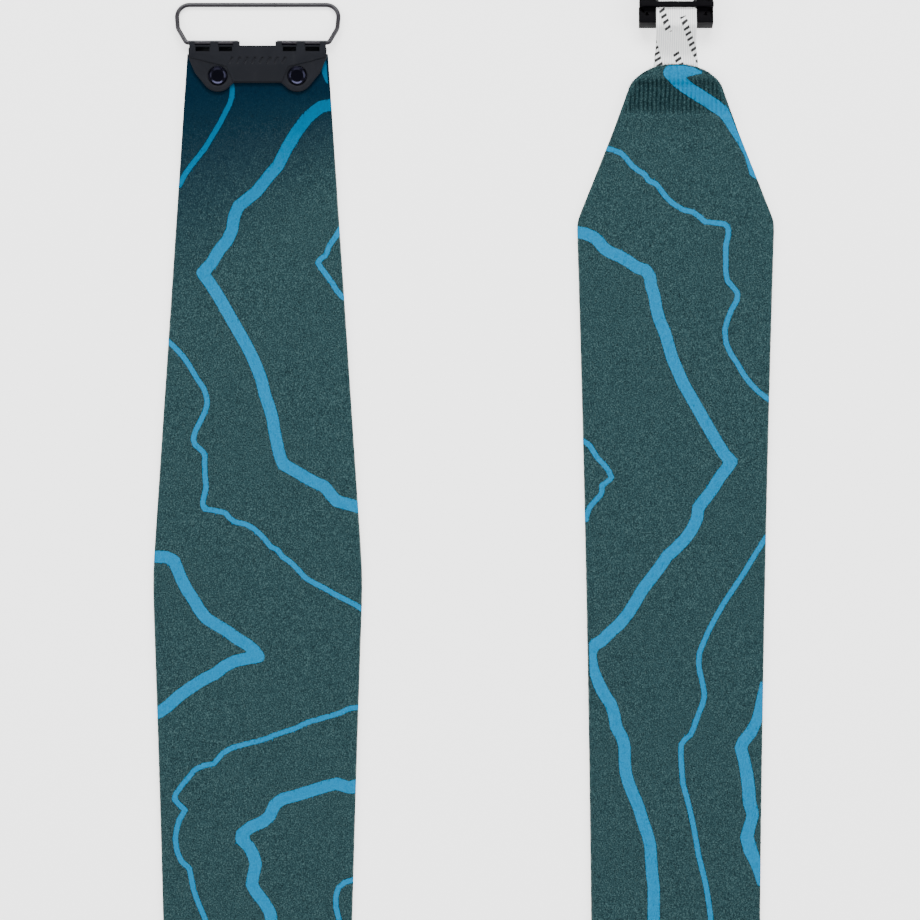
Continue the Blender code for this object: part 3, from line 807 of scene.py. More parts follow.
TIP_LINES = (
    (THIN, ((-14.5, 24), (-14.5, 30), (-16, 35), (-18.5, 40), (-21, 45), (-24, 50), (-27, 55),
            (-30, 60), (-34, 65), (-38, 70), (-41.5, 75), (-44.5, 81))),
    (THICK, ((43, 35), (36, 36.5), (32, 39.5), (28, 43), (25, 47), (22, 51), (19, 56), (16.5, 60),
             (14, 65), (11.5, 70), (7, 75), (3, 80), (-0.5, 84.5), (-6, 89), (-11, 93), (-13.5, 99),
             (-14.5, 106), (-17, 112), (-22, 118), (-26, 125), (-31.5, 131), (-27, 137), (-22.5, 144),
             (-18.5, 151), (-14.5, 158), (-10.5, 165), (-6.5, 172), (-3, 179), (0, 186), (2.5, 193),
             (4, 200), (6.5, 207), (8.5, 214), (9.5, 221), (11, 228), (12.5, 235), (14.5, 240),
             (20, 243), (26, 246.5), (32, 250), (38, 252.5), (41.5, 257), (45, 261), (51, 262.5),
             (58, 264.5))),
    (0.4, ((38.7, 10), (38.2, 13, 1.1), (38, 17, 1.5), (38.8, 20, 1), (39.8, 23.5, 0.3))),
    (THIN, ((47.8, 103, 0.6), (46.5, 107, 1.7), (44, 111), (41, 115), (39.5, 119), (38.3, 121.5),
            (35.5, 123), (34.2, 125), (36, 128), (39, 132), (42, 136), (45, 141), (48, 144.5),
            (51, 146))),
    (THIN, ((-52, 169), (-47, 173.5), (-43, 178), (-40, 182), (-37, 187), (-34, 192), (-30.5, 197),
            (-29, 202), (-28.7, 206), (-30.5, 211), (-33, 216), (-35.5, 221), (-36.7, 225),
            (-36, 228.5), (-32.5, 231.5), (-30, 234), (-30.3, 240), (-30, 247), (-29.3, 253),
            (-30.5, 258), (-31.5, 262), (-30.5, 265.3), (-24, 266.3), (-18.5, 267.5), (-16, 270.5),
            (-13, 272.8), (-7, 274), (-3, 276), (1, 279.3), (4.5, 283), (7.5, 287), (11.5, 288.7),
            (14, 292.5), (18.5, 295.5), (23, 300), (27, 304.5), (32, 307.5), (38, 310.5), (44, 314),
            (50, 317), (55, 319.5), (61, 323.5))),
    (THICK, ((-62, 292.5), (-52, 292.7), (-47.5, 295), (-46, 299), (-43.5, 305), (-40.5, 311),
             (-36.5, 317), (-33, 323), (-29.5, 327.5), (-24, 331), (-18, 334.5), (-12, 339),
             (-6, 342.5), (-1.5, 346.5), (0.5, 349.5), (-6, 350.5), (-13, 352), (-19, 355), (-24, 359),
             (-31, 362.5), (-38, 367), (-45, 372), (-51, 377.5), (-56, 381), (-61, 383))),
    (THIN, ((60, 378), (52, 379), (47, 381.5), (42, 383), (35, 385), (28, 387), (21, 390.5), (16, 392),
            (10, 394), (4, 396.5), (-2, 398), (-8, 399.5), (-15, 401.5), (-20, 404.5), (-23, 408),
            (-25, 410.5), (-31, 411.5), (-36, 414), (-40, 419), (-44, 424), (-47, 428), (-47.5, 430.5),
            (-45, 433.5), (-41.2, 436.7), (-44.5, 442), (-46, 447), (-47, 453), (-46, 460),
            (-43.5, 466), (-38.8, 470), (-38, 475), (-36.5, 482), (-34.5, 488), (-32, 494),
            (-29.5, 500), (-27, 508), (-29, 517), (-34, 524), (-38, 532), (-37, 541), (-42, 549),
            (-48, 553), (-58, 556))),
    (THICK, ((58, 423, 4.2), (52, 424), (45, 421.7), (38, 423.5), (30, 426), (22, 428.5), (14, 430.5),
             (9.5, 434), (7, 440), (3, 443.5), (-4, 446.5), (-9, 450.5), (-9.3, 453.5), (-5.5, 457),
             (-2.5, 462), (-1, 468), (-2.5, 474), (-3.5, 479), (-1, 483.5), (3.5, 489), (7, 495),
             (8, 501), (6, 509), (1, 516), (-6, 521), (-11, 528), (-13, 537), (-11, 547), (-14, 556),
             (-20, 563), (-27, 568), (-31, 576), (-33, 586), (-39, 594), (-47, 599), (-58, 603))),
    (THIN, ((56, 476), (49.5, 478), (46, 481), (44.5, 486), (44.5, 492), (46.5, 500), (45, 510),
            (40, 518), (36, 527), (37, 538), (32, 547), (25, 554), (21, 563), (22, 574), (17, 583),
            (9, 590), (4, 599), (3, 610), (-4, 618), (-12, 623), (-17, 632), (-18, 643), (-25, 651),
            (-34, 656), (-42, 663), (-56, 666))),
)

WAIST_LINES = (
    (THICK, ((60, 585), (50, 588), (43, 593), (39, 601), (36, 611), (30, 619), (22, 624), (17, 632),
             (15, 643), (16, 654), (11, 664), (3, 671), (-3, 680), (-5, 691), (-3, 702), (1, 712),
             (8, 719), (12, 729), (10, 741), (3, 750), (-6, 756), (-13, 764), (-16, 775), (-14, 787),
             (-18, 798), (-27, 805), (-37, 810), (-53, 814))),
    (THIN, ((58, 641), (49, 647), (45, 655), (46, 666), (42, 676), (35, 683), (31, 692), (32, 704),
            (36, 714), (33, 725), (26, 733), (23, 743), (25, 755), (31, 764), (39, 770), (47, 778),
            (56, 784))),
    (THIN, ((-56, 711), (-45, 717), (-38, 724), (-35, 733), (-37, 744), (-43, 751), (-55, 757))),
    (THICK, ((53, 828), (43, 829), (35, 832), (28, 838), (24, 847), (18, 855), (9, 860), (2, 867),
             (-1, 877), (1, 888), (7, 897), (15, 903), (21, 911), (23, 922), (19, 932), (11, 939),
             (5, 948), (4, 960), (8, 971), (9, 983), (4, 994), (-5, 1000), (-14, 1005), (-20, 1014),
             (-22, 1025), (-29, 1033), (-39, 1037), (-52, 1040))),
    (THIN, ((-53, 857), (-43, 862), (-37, 869), (-35, 880), (-30, 889), (-23, 896), (-20, 906),
            (-22, 917), (-28, 926), (-30, 937), (-27, 948), (-31, 958), (-39, 964), (-52, 968))),
    (THIN, ((51, 1007), (42, 1013), (38, 1022), (31, 1029), (24, 1036), (21, 1047), (17, 1057),
            (9, 1063), (1, 1069), (-5, 1078), (-7, 1089), (-4, 1100), (-8, 1111), (-14, 1120),
            (-17, 1130), (-15, 1141), (-18, 1152), (-20, 1163), (-20, 1174))),
    (THICK, ((52, 1069), (42, 1074), (37, 1082), (34, 1092), (28, 1100), (22, 1107), (20, 1117),
             (22, 1128), (19, 1139), (14, 1149), (12, 1160), (12.5, 1174))),
    (THIN, ((-51, 1091), (-41, 1096), (-36, 1104), (-33, 1114), (-36, 1124), (-42, 1130), (-52, 1134))),
)

# Across, and distance left to the tail end
TAIL_LINES = (
    (THICK, ((3, 4.8, 4.1), (-2, 10, 4), (-8, 14.5, 3.7), (-15, 18.8, 3.7), (-22, 23.3, 3.7),
             (-27, 27, 3.3), (-30, 32, 2.5), (-33, 38, 1.9), (-36.5, 44, 1.5), (-40, 51.5, 0.9),
             (-42.5, 58, 1.5), (-44, 62, 1.9), (-46, 64.5, 0.8))),
    (THICK, ((3, 4.8, 4), (-4, 4.3, 3.5), (-10, 4.2, 2.1), (-14.5, 4.9, 0.5))),
    (THIN, ((41, 47.3), (36, 48.5), (31, 50.5), (28, 53.5), (25, 57.5), (21, 60.5), (17.5, 62.5),
            (15.5, 66), (11, 68), (8, 72), (5, 76), (1, 79.5), (-4, 82.5), (-10, 84), (-13.5, 86.5),
            (-16.5, 89.5), (-22, 90), (-28, 90.7), (-30, 93), (-30, 97), (-28.5, 103), (-28.5, 110),
            (-28.5, 118), (-29.5, 123), (-32.5, 126.5), (-35.3, 130), (-35, 134), (-32, 139),
            (-29.5, 145), (-28, 151), (-28.5, 158), (-31, 164), (-35, 170), (-39, 177), (-43, 182),
            (-47.5, 186.5), (-54, 191.5))),
    (THICK, ((60, 95), (52, 96), (47, 98), (43.5, 101), (41, 104.5), (37, 107), (32, 109), (27, 112),
             (22, 115.5), (17, 117), (14.5, 121), (14, 126), (12, 132), (11, 139), (9, 146), (6, 153),
             (4, 160), (2, 167), (-1, 174), (-4, 181), (-8, 188), (-12, 195), (-16, 202), (-20, 209),
             (-24, 216), (-27.5, 221.5), (-31.8, 226), (-29, 230), (-25, 235), (-21.5, 241), (-17, 247),
             (-13, 252), (-12, 259), (-9, 265), (-5, 270.5), (0, 275.5), (5, 280), (9, 286),
             (14, 292.5), (19, 299), (23, 306), (27, 312.5), (32, 318.5), (37, 323), (42, 328),
             (46, 330.3), (47.2, 335, 2), (46.8, 341, 2.2), (45.8, 347, 3), (43.5, 353), (41, 358),
             (37, 364), (35, 370), (34, 377), (30.5, 383), (29, 389), (29, 397), (28.5, 403),
             (26.5, 410), (24, 416), (21, 423), (19, 430), (16.5, 437), (14.5, 444), (14, 452),
             (13.5, 460), (12.5, 468), (12.5, 486))),
    (THIN, ((54, 213.5), (49, 216.5), (47, 220), (44.5, 224), (41, 227.5), (38, 231.5), (36.5, 235.3),
            (39, 237.5), (42, 239.5), (42, 243), (43, 245.5), (46, 248.5), (49, 252), (50.5, 256),
            (51, 259))),
    (THIN, ((-51.5, 269), (-46.5, 277), (-43, 282.5), (-39.5, 288.5), (-35.5, 294.5), (-31.5, 300.5),
            (-27.5, 306.5), (-24, 312.5), (-21, 318), (-18, 324), (-15.5, 330), (-13.5, 335),
            (-13, 341), (-14, 347), (-15.5, 353), (-16.5, 359), (-15, 365), (-12.5, 371), (-10.5, 377),
            (-8.5, 381.5), (-5, 384.5), (-3, 387.5), (-3, 394), (-3.5, 402), (-4, 409), (-6, 416),
            (-8, 424), (-10, 433), (-11.5, 441), (-13, 450), (-15, 458), (-17, 466), (-18.5, 475),
            (-20, 486))),
    (THICK, ((-49, 352, 0.7), (-48.3, 360, 2), (-47.5, 367, 2.6), (-46, 374, 3), (-43, 380),
             (-38.5, 385.5), (-37, 389), (-39, 396), (-40.5, 404, 3.6), (-41.5, 412, 3.6),
             (-42, 420, 3.7), (-44, 427), (-42, 434), (-40.5, 440, 3.7), (-42.5, 447, 3.9), (-45, 453),
             (-46.5, 460, 2), (-47.5, 467, 0.9))),
)


@dataclass(frozen=True)
class Print:
    """The contour lines printed on the pile, as lines with a half width, all in millimetres."""

    length: float
    far: float = 15.0

    def lines(self) -> list[np.ndarray]:
        """Each line's points: across, behind the hinge line and half width, in millimetres."""
        found = []
        for group, from_tail in ((TIP_LINES, False), (WAIST_LINES, False), (TAIL_LINES, True)):
            for width, points in group:
                line = np.array([(p[0], p[1], p[2] if len(p) > 2 else width) for p in points], float)
                if from_tail:
                    line[:, 1] = self.length / MM - line[:, 1]
                found.append(line)
        return found

    def edge_distance(self, x: np.ndarray, t: np.ndarray) -> np.ndarray:
        """Distance to the nearest line's edge, below 0 inside a line.

        Args:
            x: Distances across.
            t: Distances behind the hinge line, of the same shape.

        Returns:
            The distances in metres, no more than the print's reach.
        """
        px, pt = x.ravel() / MM, t.ravel() / MM
        nearest = np.full(px.shape, self.far)
        for line in self.lines():
            for start, end in zip(line, line[1:]):
                low, high = sorted((start[1], end[1]))
                close = np.nonzero((pt > low - self.far) & (pt < high + self.far))[0]
                run = end[:2] - start[:2]
                qx, qt = px[close] - start[0], pt[close] - start[1]
                share = np.clip((qx * run[0] + qt * run[1]) / (run @ run), 0, 1)
                away = np.hypot(qx - share * run[0], qt - share * run[1])
                away -= start[2] + share * (end[2] - start[2])
                nearest[close] = np.minimum(nearest[close], away)
        return (nearest * MM).reshape(x.shape)


# ------------------------------------------------------------------------------------ the laminate


@dataclass
class Laminate:
    """The plush with its print, fibres and tufts, over the backing, the adhesive and the tail patch."""

    place: Place
    strip: Strip
    finishes: Finishes
    columns: int = 86
    row_pitch: float = 2.05 * MM
    tail_row_pitch: float = 0.75 * MM
    clearance: float = 0.03 * MM
    edge_round: float = 0.7 * MM
    rib_pitch: float = 2.45 * MM
    rib_depth: float = 0.5 * MM
    rib_span: tuple[float, float] = (6 * MM, 29.5 * MM)
    seam_dip: float = 0.35 * MM
    seam_span: tuple[float, float] = (9 * MM, 15 * MM)
    seam_ramp: float = 3 * MM
    fine_length: float = 46 * MM
    nose_turn: float = 86.0
    nose_rows: int = 26
    edge_steps: tuple[float, ...] = (0.0, 0.14 * MM, 0.38 * MM, 0.7 * MM)
    edge_band: float = 1.3 * MM
    narrow: float = 4 * MM
    unevenness: float = 0.05 * MM
    # painted shade towards the tip: where it starts, how far it reaches, how much less far towards +x, and
    # its curve
    painted_shade_from: float = 25 * MM
    painted_shade_reach: float = 106 * MM
    painted_shade_lean: float = 0.9
    painted_shade_power: float = 0.72
    stitch_pitch: float = 1.9 * MM
    stitch_length: float = 1.3 * MM
    thread: float = 0.2 * MM
    sway: float = 0.05 * MM
    stud_hole: float = 3.2 * MM
    plate_end: float = 24 * MM
    plate_half: float = 40 * MM
    lobe_at: tuple[float, float] = (22.6 * MM, 18.9 * MM)
    lobe_radius: float = 10 * MM
    patch_half: float = 22 * MM
    patch_corner: float = 3 * MM
    tufts: int = 40000
    tuft_clear: tuple[float, float] = (17 * MM, 1 * MM)
    tuft_lean: tuple[float, float] = (70, 86)
    tuft_length: tuple[float, float] = (1.1, 2.3)
    tuft_width: tuple[float, float] = (0.12, 0.24)
    fibres: int = 5200
    fibre_clear: tuple[float, float] = (20 * MM, 0.6 * MM)
    fibre_length: tuple[float, float] = (0.3, 2.0)
    fibre_width: tuple[float, float] = (0.05, 0.1)

    def rest(self) -> float:
        """Height of the pile's underside above the laminate's."""
        return self.strip.glue + self.strip.gap + self.strip.backing + self.clearance

    def surface(self, t: np.ndarray, x: np.ndarray) -> np.ndarray:
        """Height of the finished pile, with its rounded edges, sewn ribs and slight unevenness."""
        strip = self.strip
        half, d = strip.half_width(t), strip.length - t
        z = strip.pile_top(t, x, self.rest() + strip.gap - self.clearance)
        inset = np.clip((half - np.abs(x)) / self.edge_round, 0, 1)
        z = z - self.edge_round * (1 - np.sqrt(1 - (1 - inset) ** 2))
        z = z - self.rib_depth * self.groove(x, t)
        rise = smooth((d - self.seam_span[0]) / self.seam_ramp)
        fall = smooth((self.seam_span[1] - d) / self.seam_ramp)
        z = z - self.seam_dip * rise * fall
        waves = np.sin(x * 31 + t * 23) + np.sin(x * 67 - t * 41 + 1.3) + np.sin(t * 97 + x * 18 + 0.4)
        return z + self.sway * waves

    def groove(self, x: np.ndarray, t: np.ndarray) -> np.ndarray:
        """How deep a place lies in the grooves between the sewn ribs, from 0 to 1."""
        d, half = self.strip.length - t, self.strip.half_width(t)
        band = smooth((d - self.rib_span[0]) / (4 * MM)) * smooth((self.rib_span[1] - d) / (5 * MM))
        inside = smooth((half - np.abs(x) - 1 * MM) / (2.5 * MM))
        wave = 0.5 - 0.5 * np.cos(2 * math.pi * x / self.rib_pitch + 0.6 * np.sin(t * 310))
        return band * inside * (0.22 + 0.78 * wave**1.6)

    def rows(self) -> np.ndarray:
        """Distances behind the hinge line of the pile's rows, closest together at the tail."""
        strip = self.strip
        fine = strip.length - self.fine_length
        body = np.arange(strip.front, fine, self.row_pitch)
        tail = np.arange(fine, strip.length - strip.nose_length, self.tail_row_pitch)
        swing = np.radians(np.linspace(0, self.nose_turn, self.nose_rows))
        nose = strip.length - strip.nose_length * (1 - np.sin(swing))
        return np.concatenate([body, tail, nose])

    def build_plush(self) -> bpy.types.Object:
        """The printed pile layer as one closed sheet."""
        strip = self.strip
        rows = self.rows()
        half = strip.half_width(rows)
        scale = np.minimum(1.0, half / self.narrow)
        steps = np.array(self.edge_steps)
        inner = np.linspace(-1, 1, self.columns)[None, :] * (half - self.edge_band * scale)[:, None]
        left = -half[:, None] + steps[None, :] * scale[:, None]
        x = np.concatenate([left, inner, -left[:, ::-1]], axis=1)
        t = np.repeat(rows[:, None], x.shape[1], axis=1)
        top = self.surface(t, x)
        rng = self.place.draws(11)
        pressed = smooth((t - 20 * MM) / (30 * MM))
        top += rng.normal(0, self.unevenness, top.shape) * pressed
        under_x = np.linspace(1, -1, ACROSS)[None, :] * (half - 0.02 * MM)[:, None]
        under_t = np.repeat(rows[:, None], ACROSS, axis=1)
        under = strip.pile_floor(under_t, under_x, self.rest())
        rings = np.stack(
            [
                np.concatenate([x, under_x], axis=1),
                -np.concatenate([t, under_t], axis=1),
                np.concatenate([np.maximum(top, under[:, :1] + 0.2 * MM), under], axis=1),
            ],
            axis=-1,
        )
        piece = self.place.band("printed_plush", rings)
        rim = np.concatenate([self.frayed_rim(x, t, half), np.zeros_like(under)], axis=1)
        self.mark(piece, rings[..., 0].ravel(), -rings[..., 1].ravel(), fray=rim.ravel())
        self.punch(piece)
        shade(piece, 60)
        return self.place.dress(piece, self.finishes.plush, "plush", "skin", "plush")

    def frayed_rim(self, x: np.ndarray, t: np.ndarray, half: np.ndarray) -> np.ndarray:
        """How far each point of the top shows bare fibre, which it does here and there along the cut."""
        rng = self.place.draws(41)
        bare = smooth((rng.random((len(half), 2)) - 0.35) / 0.5)
        side = np.where(x < 0, bare[:, :1], bare[:, 1:])
        near = 1 - smooth((half[:, None] - np.abs(x) - 0.2 * MM) / (0.55 * MM))
        cut = smooth((t - 40 * MM) / (60 * MM)) * smooth((self.strip.length - t - 36 * MM) / (10 * MM))
        return 0.85 * side * near * cut

    def mark(
        self,
        piece: bpy.types.Object,
        x: np.ndarray,
        t: np.ndarray,
        tone: np.ndarray | float = 0.0,
        fray: np.ndarray | float = 0.0,
    ) -> None:
        """Keep what the pile's finish reads on a piece's points.

        Args:
            piece: The piece.
            x: Its points' distances across.
            t: Their distances behind the hinge line.
            tone: How much brighter than the rest each point is.
            fray: How far each point is bare, undyed fibre, from 0 to 1.
        """
        store(piece, "print_edge", Print(self.strip.length).edge_distance(x, t))
        # Painted shade: darker towards the tip, and darker in the rib grooves by the groove number.
        reach = self.painted_shade_reach - self.painted_shade_lean * x
        store(piece, "painted_tip_shade", 1 - smooth((t - self.painted_shade_from) / reach) ** self.painted_shade_power)
        store(piece, "groove", self.groove(x, t))
        store(piece, "tone", np.broadcast_to(tone, x.shape))
        store(piece, "fray", np.broadcast_to(fray, x.shape))

    def punch(self, piece: bpy.types.Object) -> None:
        """Cut the two stud holes through a layer."""
        for letter in "ab":
            low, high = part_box(self.place.node(f"stud_{letter}"))
            centre = (low + high) / 2
            deselect_all()
            bpy.ops.mesh.primitive_cylinder_add(
                vertices=24, radius=self.stud_hole, depth=20 * MM, location=centre
            )
            cutter = bpy.context.object
            settle(cutter)
            cut_away(piece, cutter)

    def build_tufts(self) -> bpy.types.Object:
        """Small tufts of pile all over the surface, lying towards the tail, each a slim closed spike."""
        strip, count = self.strip, self.tufts
        rng = self.place.draws(21)
        span = (strip.front + self.tuft_clear[0], strip.length - self.tuft_clear[1])
        t = span[0] + (span[1] - span[0]) * (np.arange(count) + rng.random(count)) / count
        half = strip.half_width(t)
        x = rng.uniform(-1, 1, count) * (half - 0.5 * MM)
        open_to_air = ~self.under_clamp(x, t)
        x, t, half = x[open_to_air], t[open_to_air], half[open_to_air]
        count = len(x)
        lean = np.radians(rng.uniform(*self.tuft_lean, count))
        swing = rng.normal(0, 0.35, count)
        length = rng.uniform(*self.tuft_length, count) * MM
        flat = np.sin(lean)
        along = np.stack([flat * np.sin(swing), -flat * np.cos(swing), np.cos(lean)], axis=-1)
        roots = np.stack([x, -t, self.surface(t, x) - 0.04 * MM], axis=-1)
        width = rng.uniform(*self.tuft_width, count) * MM
        points, faces = spikes(roots, along, length, width, 0.4)
        piece = self.place.mesh("pile_tufts", points, faces)
        tone = np.repeat(rng.normal(0.03, 0.11, count), 4)
        self.mark(piece, np.repeat(x, 4), np.repeat(t, 4), tone)
        return self.place.dress(piece, self.finishes.plush, "plush", "skin")

    def under_clamp(self, x: np.ndarray, t: np.ndarray) -> np.ndarray:
        """Where the pile lies under the tip plate."""
        lobes = np.hypot(np.abs(x) - self.lobe_at[0], t - self.lobe_at[1]) < self.lobe_radius
        return (t < self.plate_end) & (np.abs(x) < self.plate_half) | lobes

    def build_fibres(self) -> bpy.types.Object:
        """Loose fibres along both cut edges and round the tail."""
        strip, count = self.strip, self.fibres
        rng = self.place.draws(31)
        clear = self.fibre_clear
        t = rng.uniform(strip.front + clear[0], strip.length - clear[1], count)
        near_tail = strip.length - strip.nose_length * rng.random(count // 8) ** 2
        t[: count // 8] = np.minimum(near_tail, strip.length - 0.05 * MM)
        sign = rng.choice([-1.0, 1.0], count)
        half = strip.half_width(t)
        slope = (strip.half_width(t + 0.02 * MM) - strip.half_width(t - 0.02 * MM)) / (0.04 * MM)
        out = np.stack([sign, slope.clip(-12, 12)], axis=-1)
        out /= np.linalg.norm(out, axis=1)[:, None]
        turn = rng.choice([-1.0, 1.0], count) * rng.normal(0.9, 0.5, count)
        across = out[:, 0] * np.cos(turn) - out[:, 1] * np.sin(turn)
        behind = out[:, 0] * np.sin(turn) + out[:, 1] * np.cos(turn)
        along = np.stack([across, behind, rng.uniform(-0.25, 0.5, count)], axis=-1)
        along /= np.linalg.norm(along, axis=1)[:, None]
        length = rng.gamma(2.2, 0.3, count).clip(*self.fibre_length) * MM
        x = sign * (half - 0.15 * MM)
        top = self.surface(t, sign * (half - 0.25 * MM))
        sunk = rng.gamma(1.2, 0.35, count).clip(0, 1.2) * MM
        roots = np.stack([x, -t, top - sunk], axis=-1)
        width = rng.uniform(*self.fibre_width, count) * MM
        points, faces = spikes(roots, along, length, width)
        piece = self.place.mesh("edge_fibres", points, faces)
        fray = np.repeat(rng.choice([0.1, 0.5, 0.95], count), 4)
        self.mark(piece, np.repeat(x, 4), np.repeat(t, 4), 0.1, fray)
        return self.place.dress(piece, self.finishes.plush, "plush", "skin")

    def build_layer(self, name: str, low: float, high: float, end: float) -> bpy.types.Object:
        """One even layer of the laminate with softened edges.

        Args:
            name: The piece's name without its side.
            low: Height of its underside above the laminate's.
            high: Height of its top.
            end: Distance behind the hinge line at which it stops.

        Returns:
            The new piece, punched for the studs.
        """
        strip = self.strip
        t = np.append(np.arange(strip.front, end, 8 * MM), end)
        half = strip.half_width(t)
        soft = 0.3 * (high - low)
        base = strip.lift(t)
        across = np.linspace(-1, 1, ACROSS)[None, :] * (half - soft)[:, None]
        rim = np.repeat(half[:, None], 2, axis=1)
        x = np.concatenate([across, rim, across[:, ::-1], -rim], axis=1)
        edge = [high - soft, low + soft]
        heights = [high] * ACROSS + edge + [low] * ACROSS + edge[::-1]
        z = np.array(heights)[None, :] + base[:, None]
        rings = np.stack([x, np.repeat(-t[:, None], x.shape[1], axis=1), z], axis=-1)
        piece = self.place.band(name, rings)
        turn_outwards(piece)
        self.punch(piece)
        shade(piece)
        return piece

    def build_layers(self) -> list[bpy.types.Object]:
        """The backing and the adhesive."""
        strip = self.strip
        end = strip.length - strip.glue_stop
        glue_top = strip.glue + strip.gap - self.clearance
        cloth_top = self.rest() - self.clearance
        backing = self.build_layer("backing_cloth", strip.glue + strip.gap, cloth_top, end)
        self.place.dress(backing, self.finishes.backing, "membrane", "skin", "membrane")
        glue = self.build_layer("adhesive_coat", 0.0, glue_top, end)
        self.place.dress(glue, self.finishes.glue, "adhesive", "skin", "adhesive")
        return [backing, glue]

    def build_patch(self) -> bpy.types.Object:
        """The reinforcing patch under the strap's sewn end, with round corners."""
        strip = self.strip
        start, end = strip.length - 30 * MM, strip.length - 3 * MM
        t = np.linspace(start, end, 28)
        corner = self.patch_corner
        inset = np.clip(1 - np.minimum(t - start, end - t) / corner, 0, 1)
        half = np.minimum(strip.half_width(t) - MM, self.patch_half)
        half = half - corner * (1 - np.sqrt(1 - inset**2))
        low = strip.lift(t)
        across = np.linspace(-1, 1, ACROSS)[None, :] * half[:, None]
        x = np.concatenate([across, across[:, ::-1]], axis=1)
        z = np.repeat(np.stack([low + strip.glue, low], axis=1), ACROSS, axis=1)
        rings = np.stack([x, np.repeat(-t[:, None], x.shape[1], axis=1), z], axis=-1)
        piece = self.place.band("sewn_patch", rings)
        turn_outwards(piece)
        shade(piece)
        return self.place.dress(piece, self.finishes.backing, "membrane", "skin", "tail_patch")

    def build_stitches(self) -> bpy.types.Object:
        """The sewing along the ribs' grooves, as short raised stitches."""
        strip = self.strip
        centres = []
        for x in (np.arange(-14, 14) + 0.5) * self.rib_pitch:
            for d in np.arange(self.rib_span[0] + 2.5 * MM, self.rib_span[1] - 2 * MM, self.stitch_pitch):
                if abs(x) < strip.half_width(strip.length - d) - 2.5 * MM:
                    centres.append((x, strip.length - d))
        centres = np.array(centres)
        height = self.surface(centres[:, 1], centres[:, 0]) - 0.02 * MM
        points, faces = stitches(centres[:, 0], -centres[:, 1], height, self.stitch_length, self.thread)
        piece = self.place.mesh("seam_stitches", points, faces)
        turn_outwards(piece)
        own = self.place.from_row(np.array([v.co[:] for v in piece.data.vertices]))
        self.mark(piece, own[:, 0], -own[:, 1], -0.12)
        shade(piece)
        return self.place.dress(piece, self.finishes.plush, "plush", "skin")

    def build(self) -> None:
        """Every layer of the laminate, with its tufts, fibres, stitches and patch."""
        strip = self.strip
        plush = self.build_plush()
        trims = [self.build_tufts(), self.build_fibres(), self.build_stitches()]
        self.place.node("backing_cloth")
        strip.area()
        for layer, below in zip(self.build_layers(), ("adhesive_coat", "base_plate")):
            lost = 2 * float(strip.half_width(strip.length - strip.glue_stop / 2)) * strip.glue_stop
            area = strip.area() - lost
            self.place.node(below)
        patch = self.build_patch()


def spikes(
    roots: np.ndarray, along: np.ndarray, length: np.ndarray, width: np.ndarray, flatness: float = 1.0
) -> tuple[np.ndarray, list]:
    """Slim closed three-sided spikes.

    Args:
        roots: Their root points.
        along: Their directions, each of length one.
        length: Their lengths.
        width: Their radii at the root.
        flatness: Their height at the root as a share of their width.

    Returns:
        Their points, four a spike, and their faces.
    """
    aside = np.cross(along, [0.0, 0.0, 1.0])
    aside /= np.linalg.norm(aside, axis=1)[:, None].clip(1e-9)
    over = np.cross(aside, along)
    corners = []
    for turn in (90, 210, 330):
        a = math.radians(turn)
        corners.append(roots + width[:, None] * (math.cos(a) * aside + flatness * math.sin(a) * over))
    points = np.stack([*corners, roots + along * length[:, None]], axis=1).reshape(-1, 3)
    base = np.arange(len(roots)) * 4
    sides = np.array(((0, 2, 1), (0, 1, 3), (1, 2, 3), (2, 0, 3)))
    faces = np.concatenate([base[:, None] + side for side in sides])
    return points, faces.tolist()


def stitches(
    x: np.ndarray, y: np.ndarray, z: np.ndarray, length: float, radius: float
) -> tuple[np.ndarray, list]:
    """Short arched stitches that lie along Y.

    Args:
        x: Places across.
        y: Places along.
        z: Heights of the cloth.
        length: Length of a stitch.
        radius: Radius of the thread.

    Returns:
        Their points and faces.
    """
    shares = np.array([-0.5, -0.36, 0.0, 0.36, 0.5])
    sizes = np.array([0.35, 0.9, 1.0, 0.9, 0.35]) * radius
    rises = np.array([-0.8, 0.2, 0.55, 0.2, -0.8]) * radius
    turns = np.radians(np.arange(6) * 60)
    ring = np.zeros((5, 6, 3))
    ring[..., 0] = sizes[:, None] * np.cos(turns)
    ring[..., 1] = (shares * length)[:, None]
    ring[..., 2] = sizes[:, None] * np.sin(turns) + rises[:, None]
    one = closed_band(ring)
    shape = ring.reshape(-1, 3)
    centres = np.stack([x, y, z], axis=-1)
    points = (centres[:, None, :] + shape[None, :, :]).reshape(-1, 3)
    faces = [[index + k * len(shape) for index in face] for k in range(len(centres)) for face in one]
    return points, faces


# ----------------------------------------------------------------------------------- the tip clamp


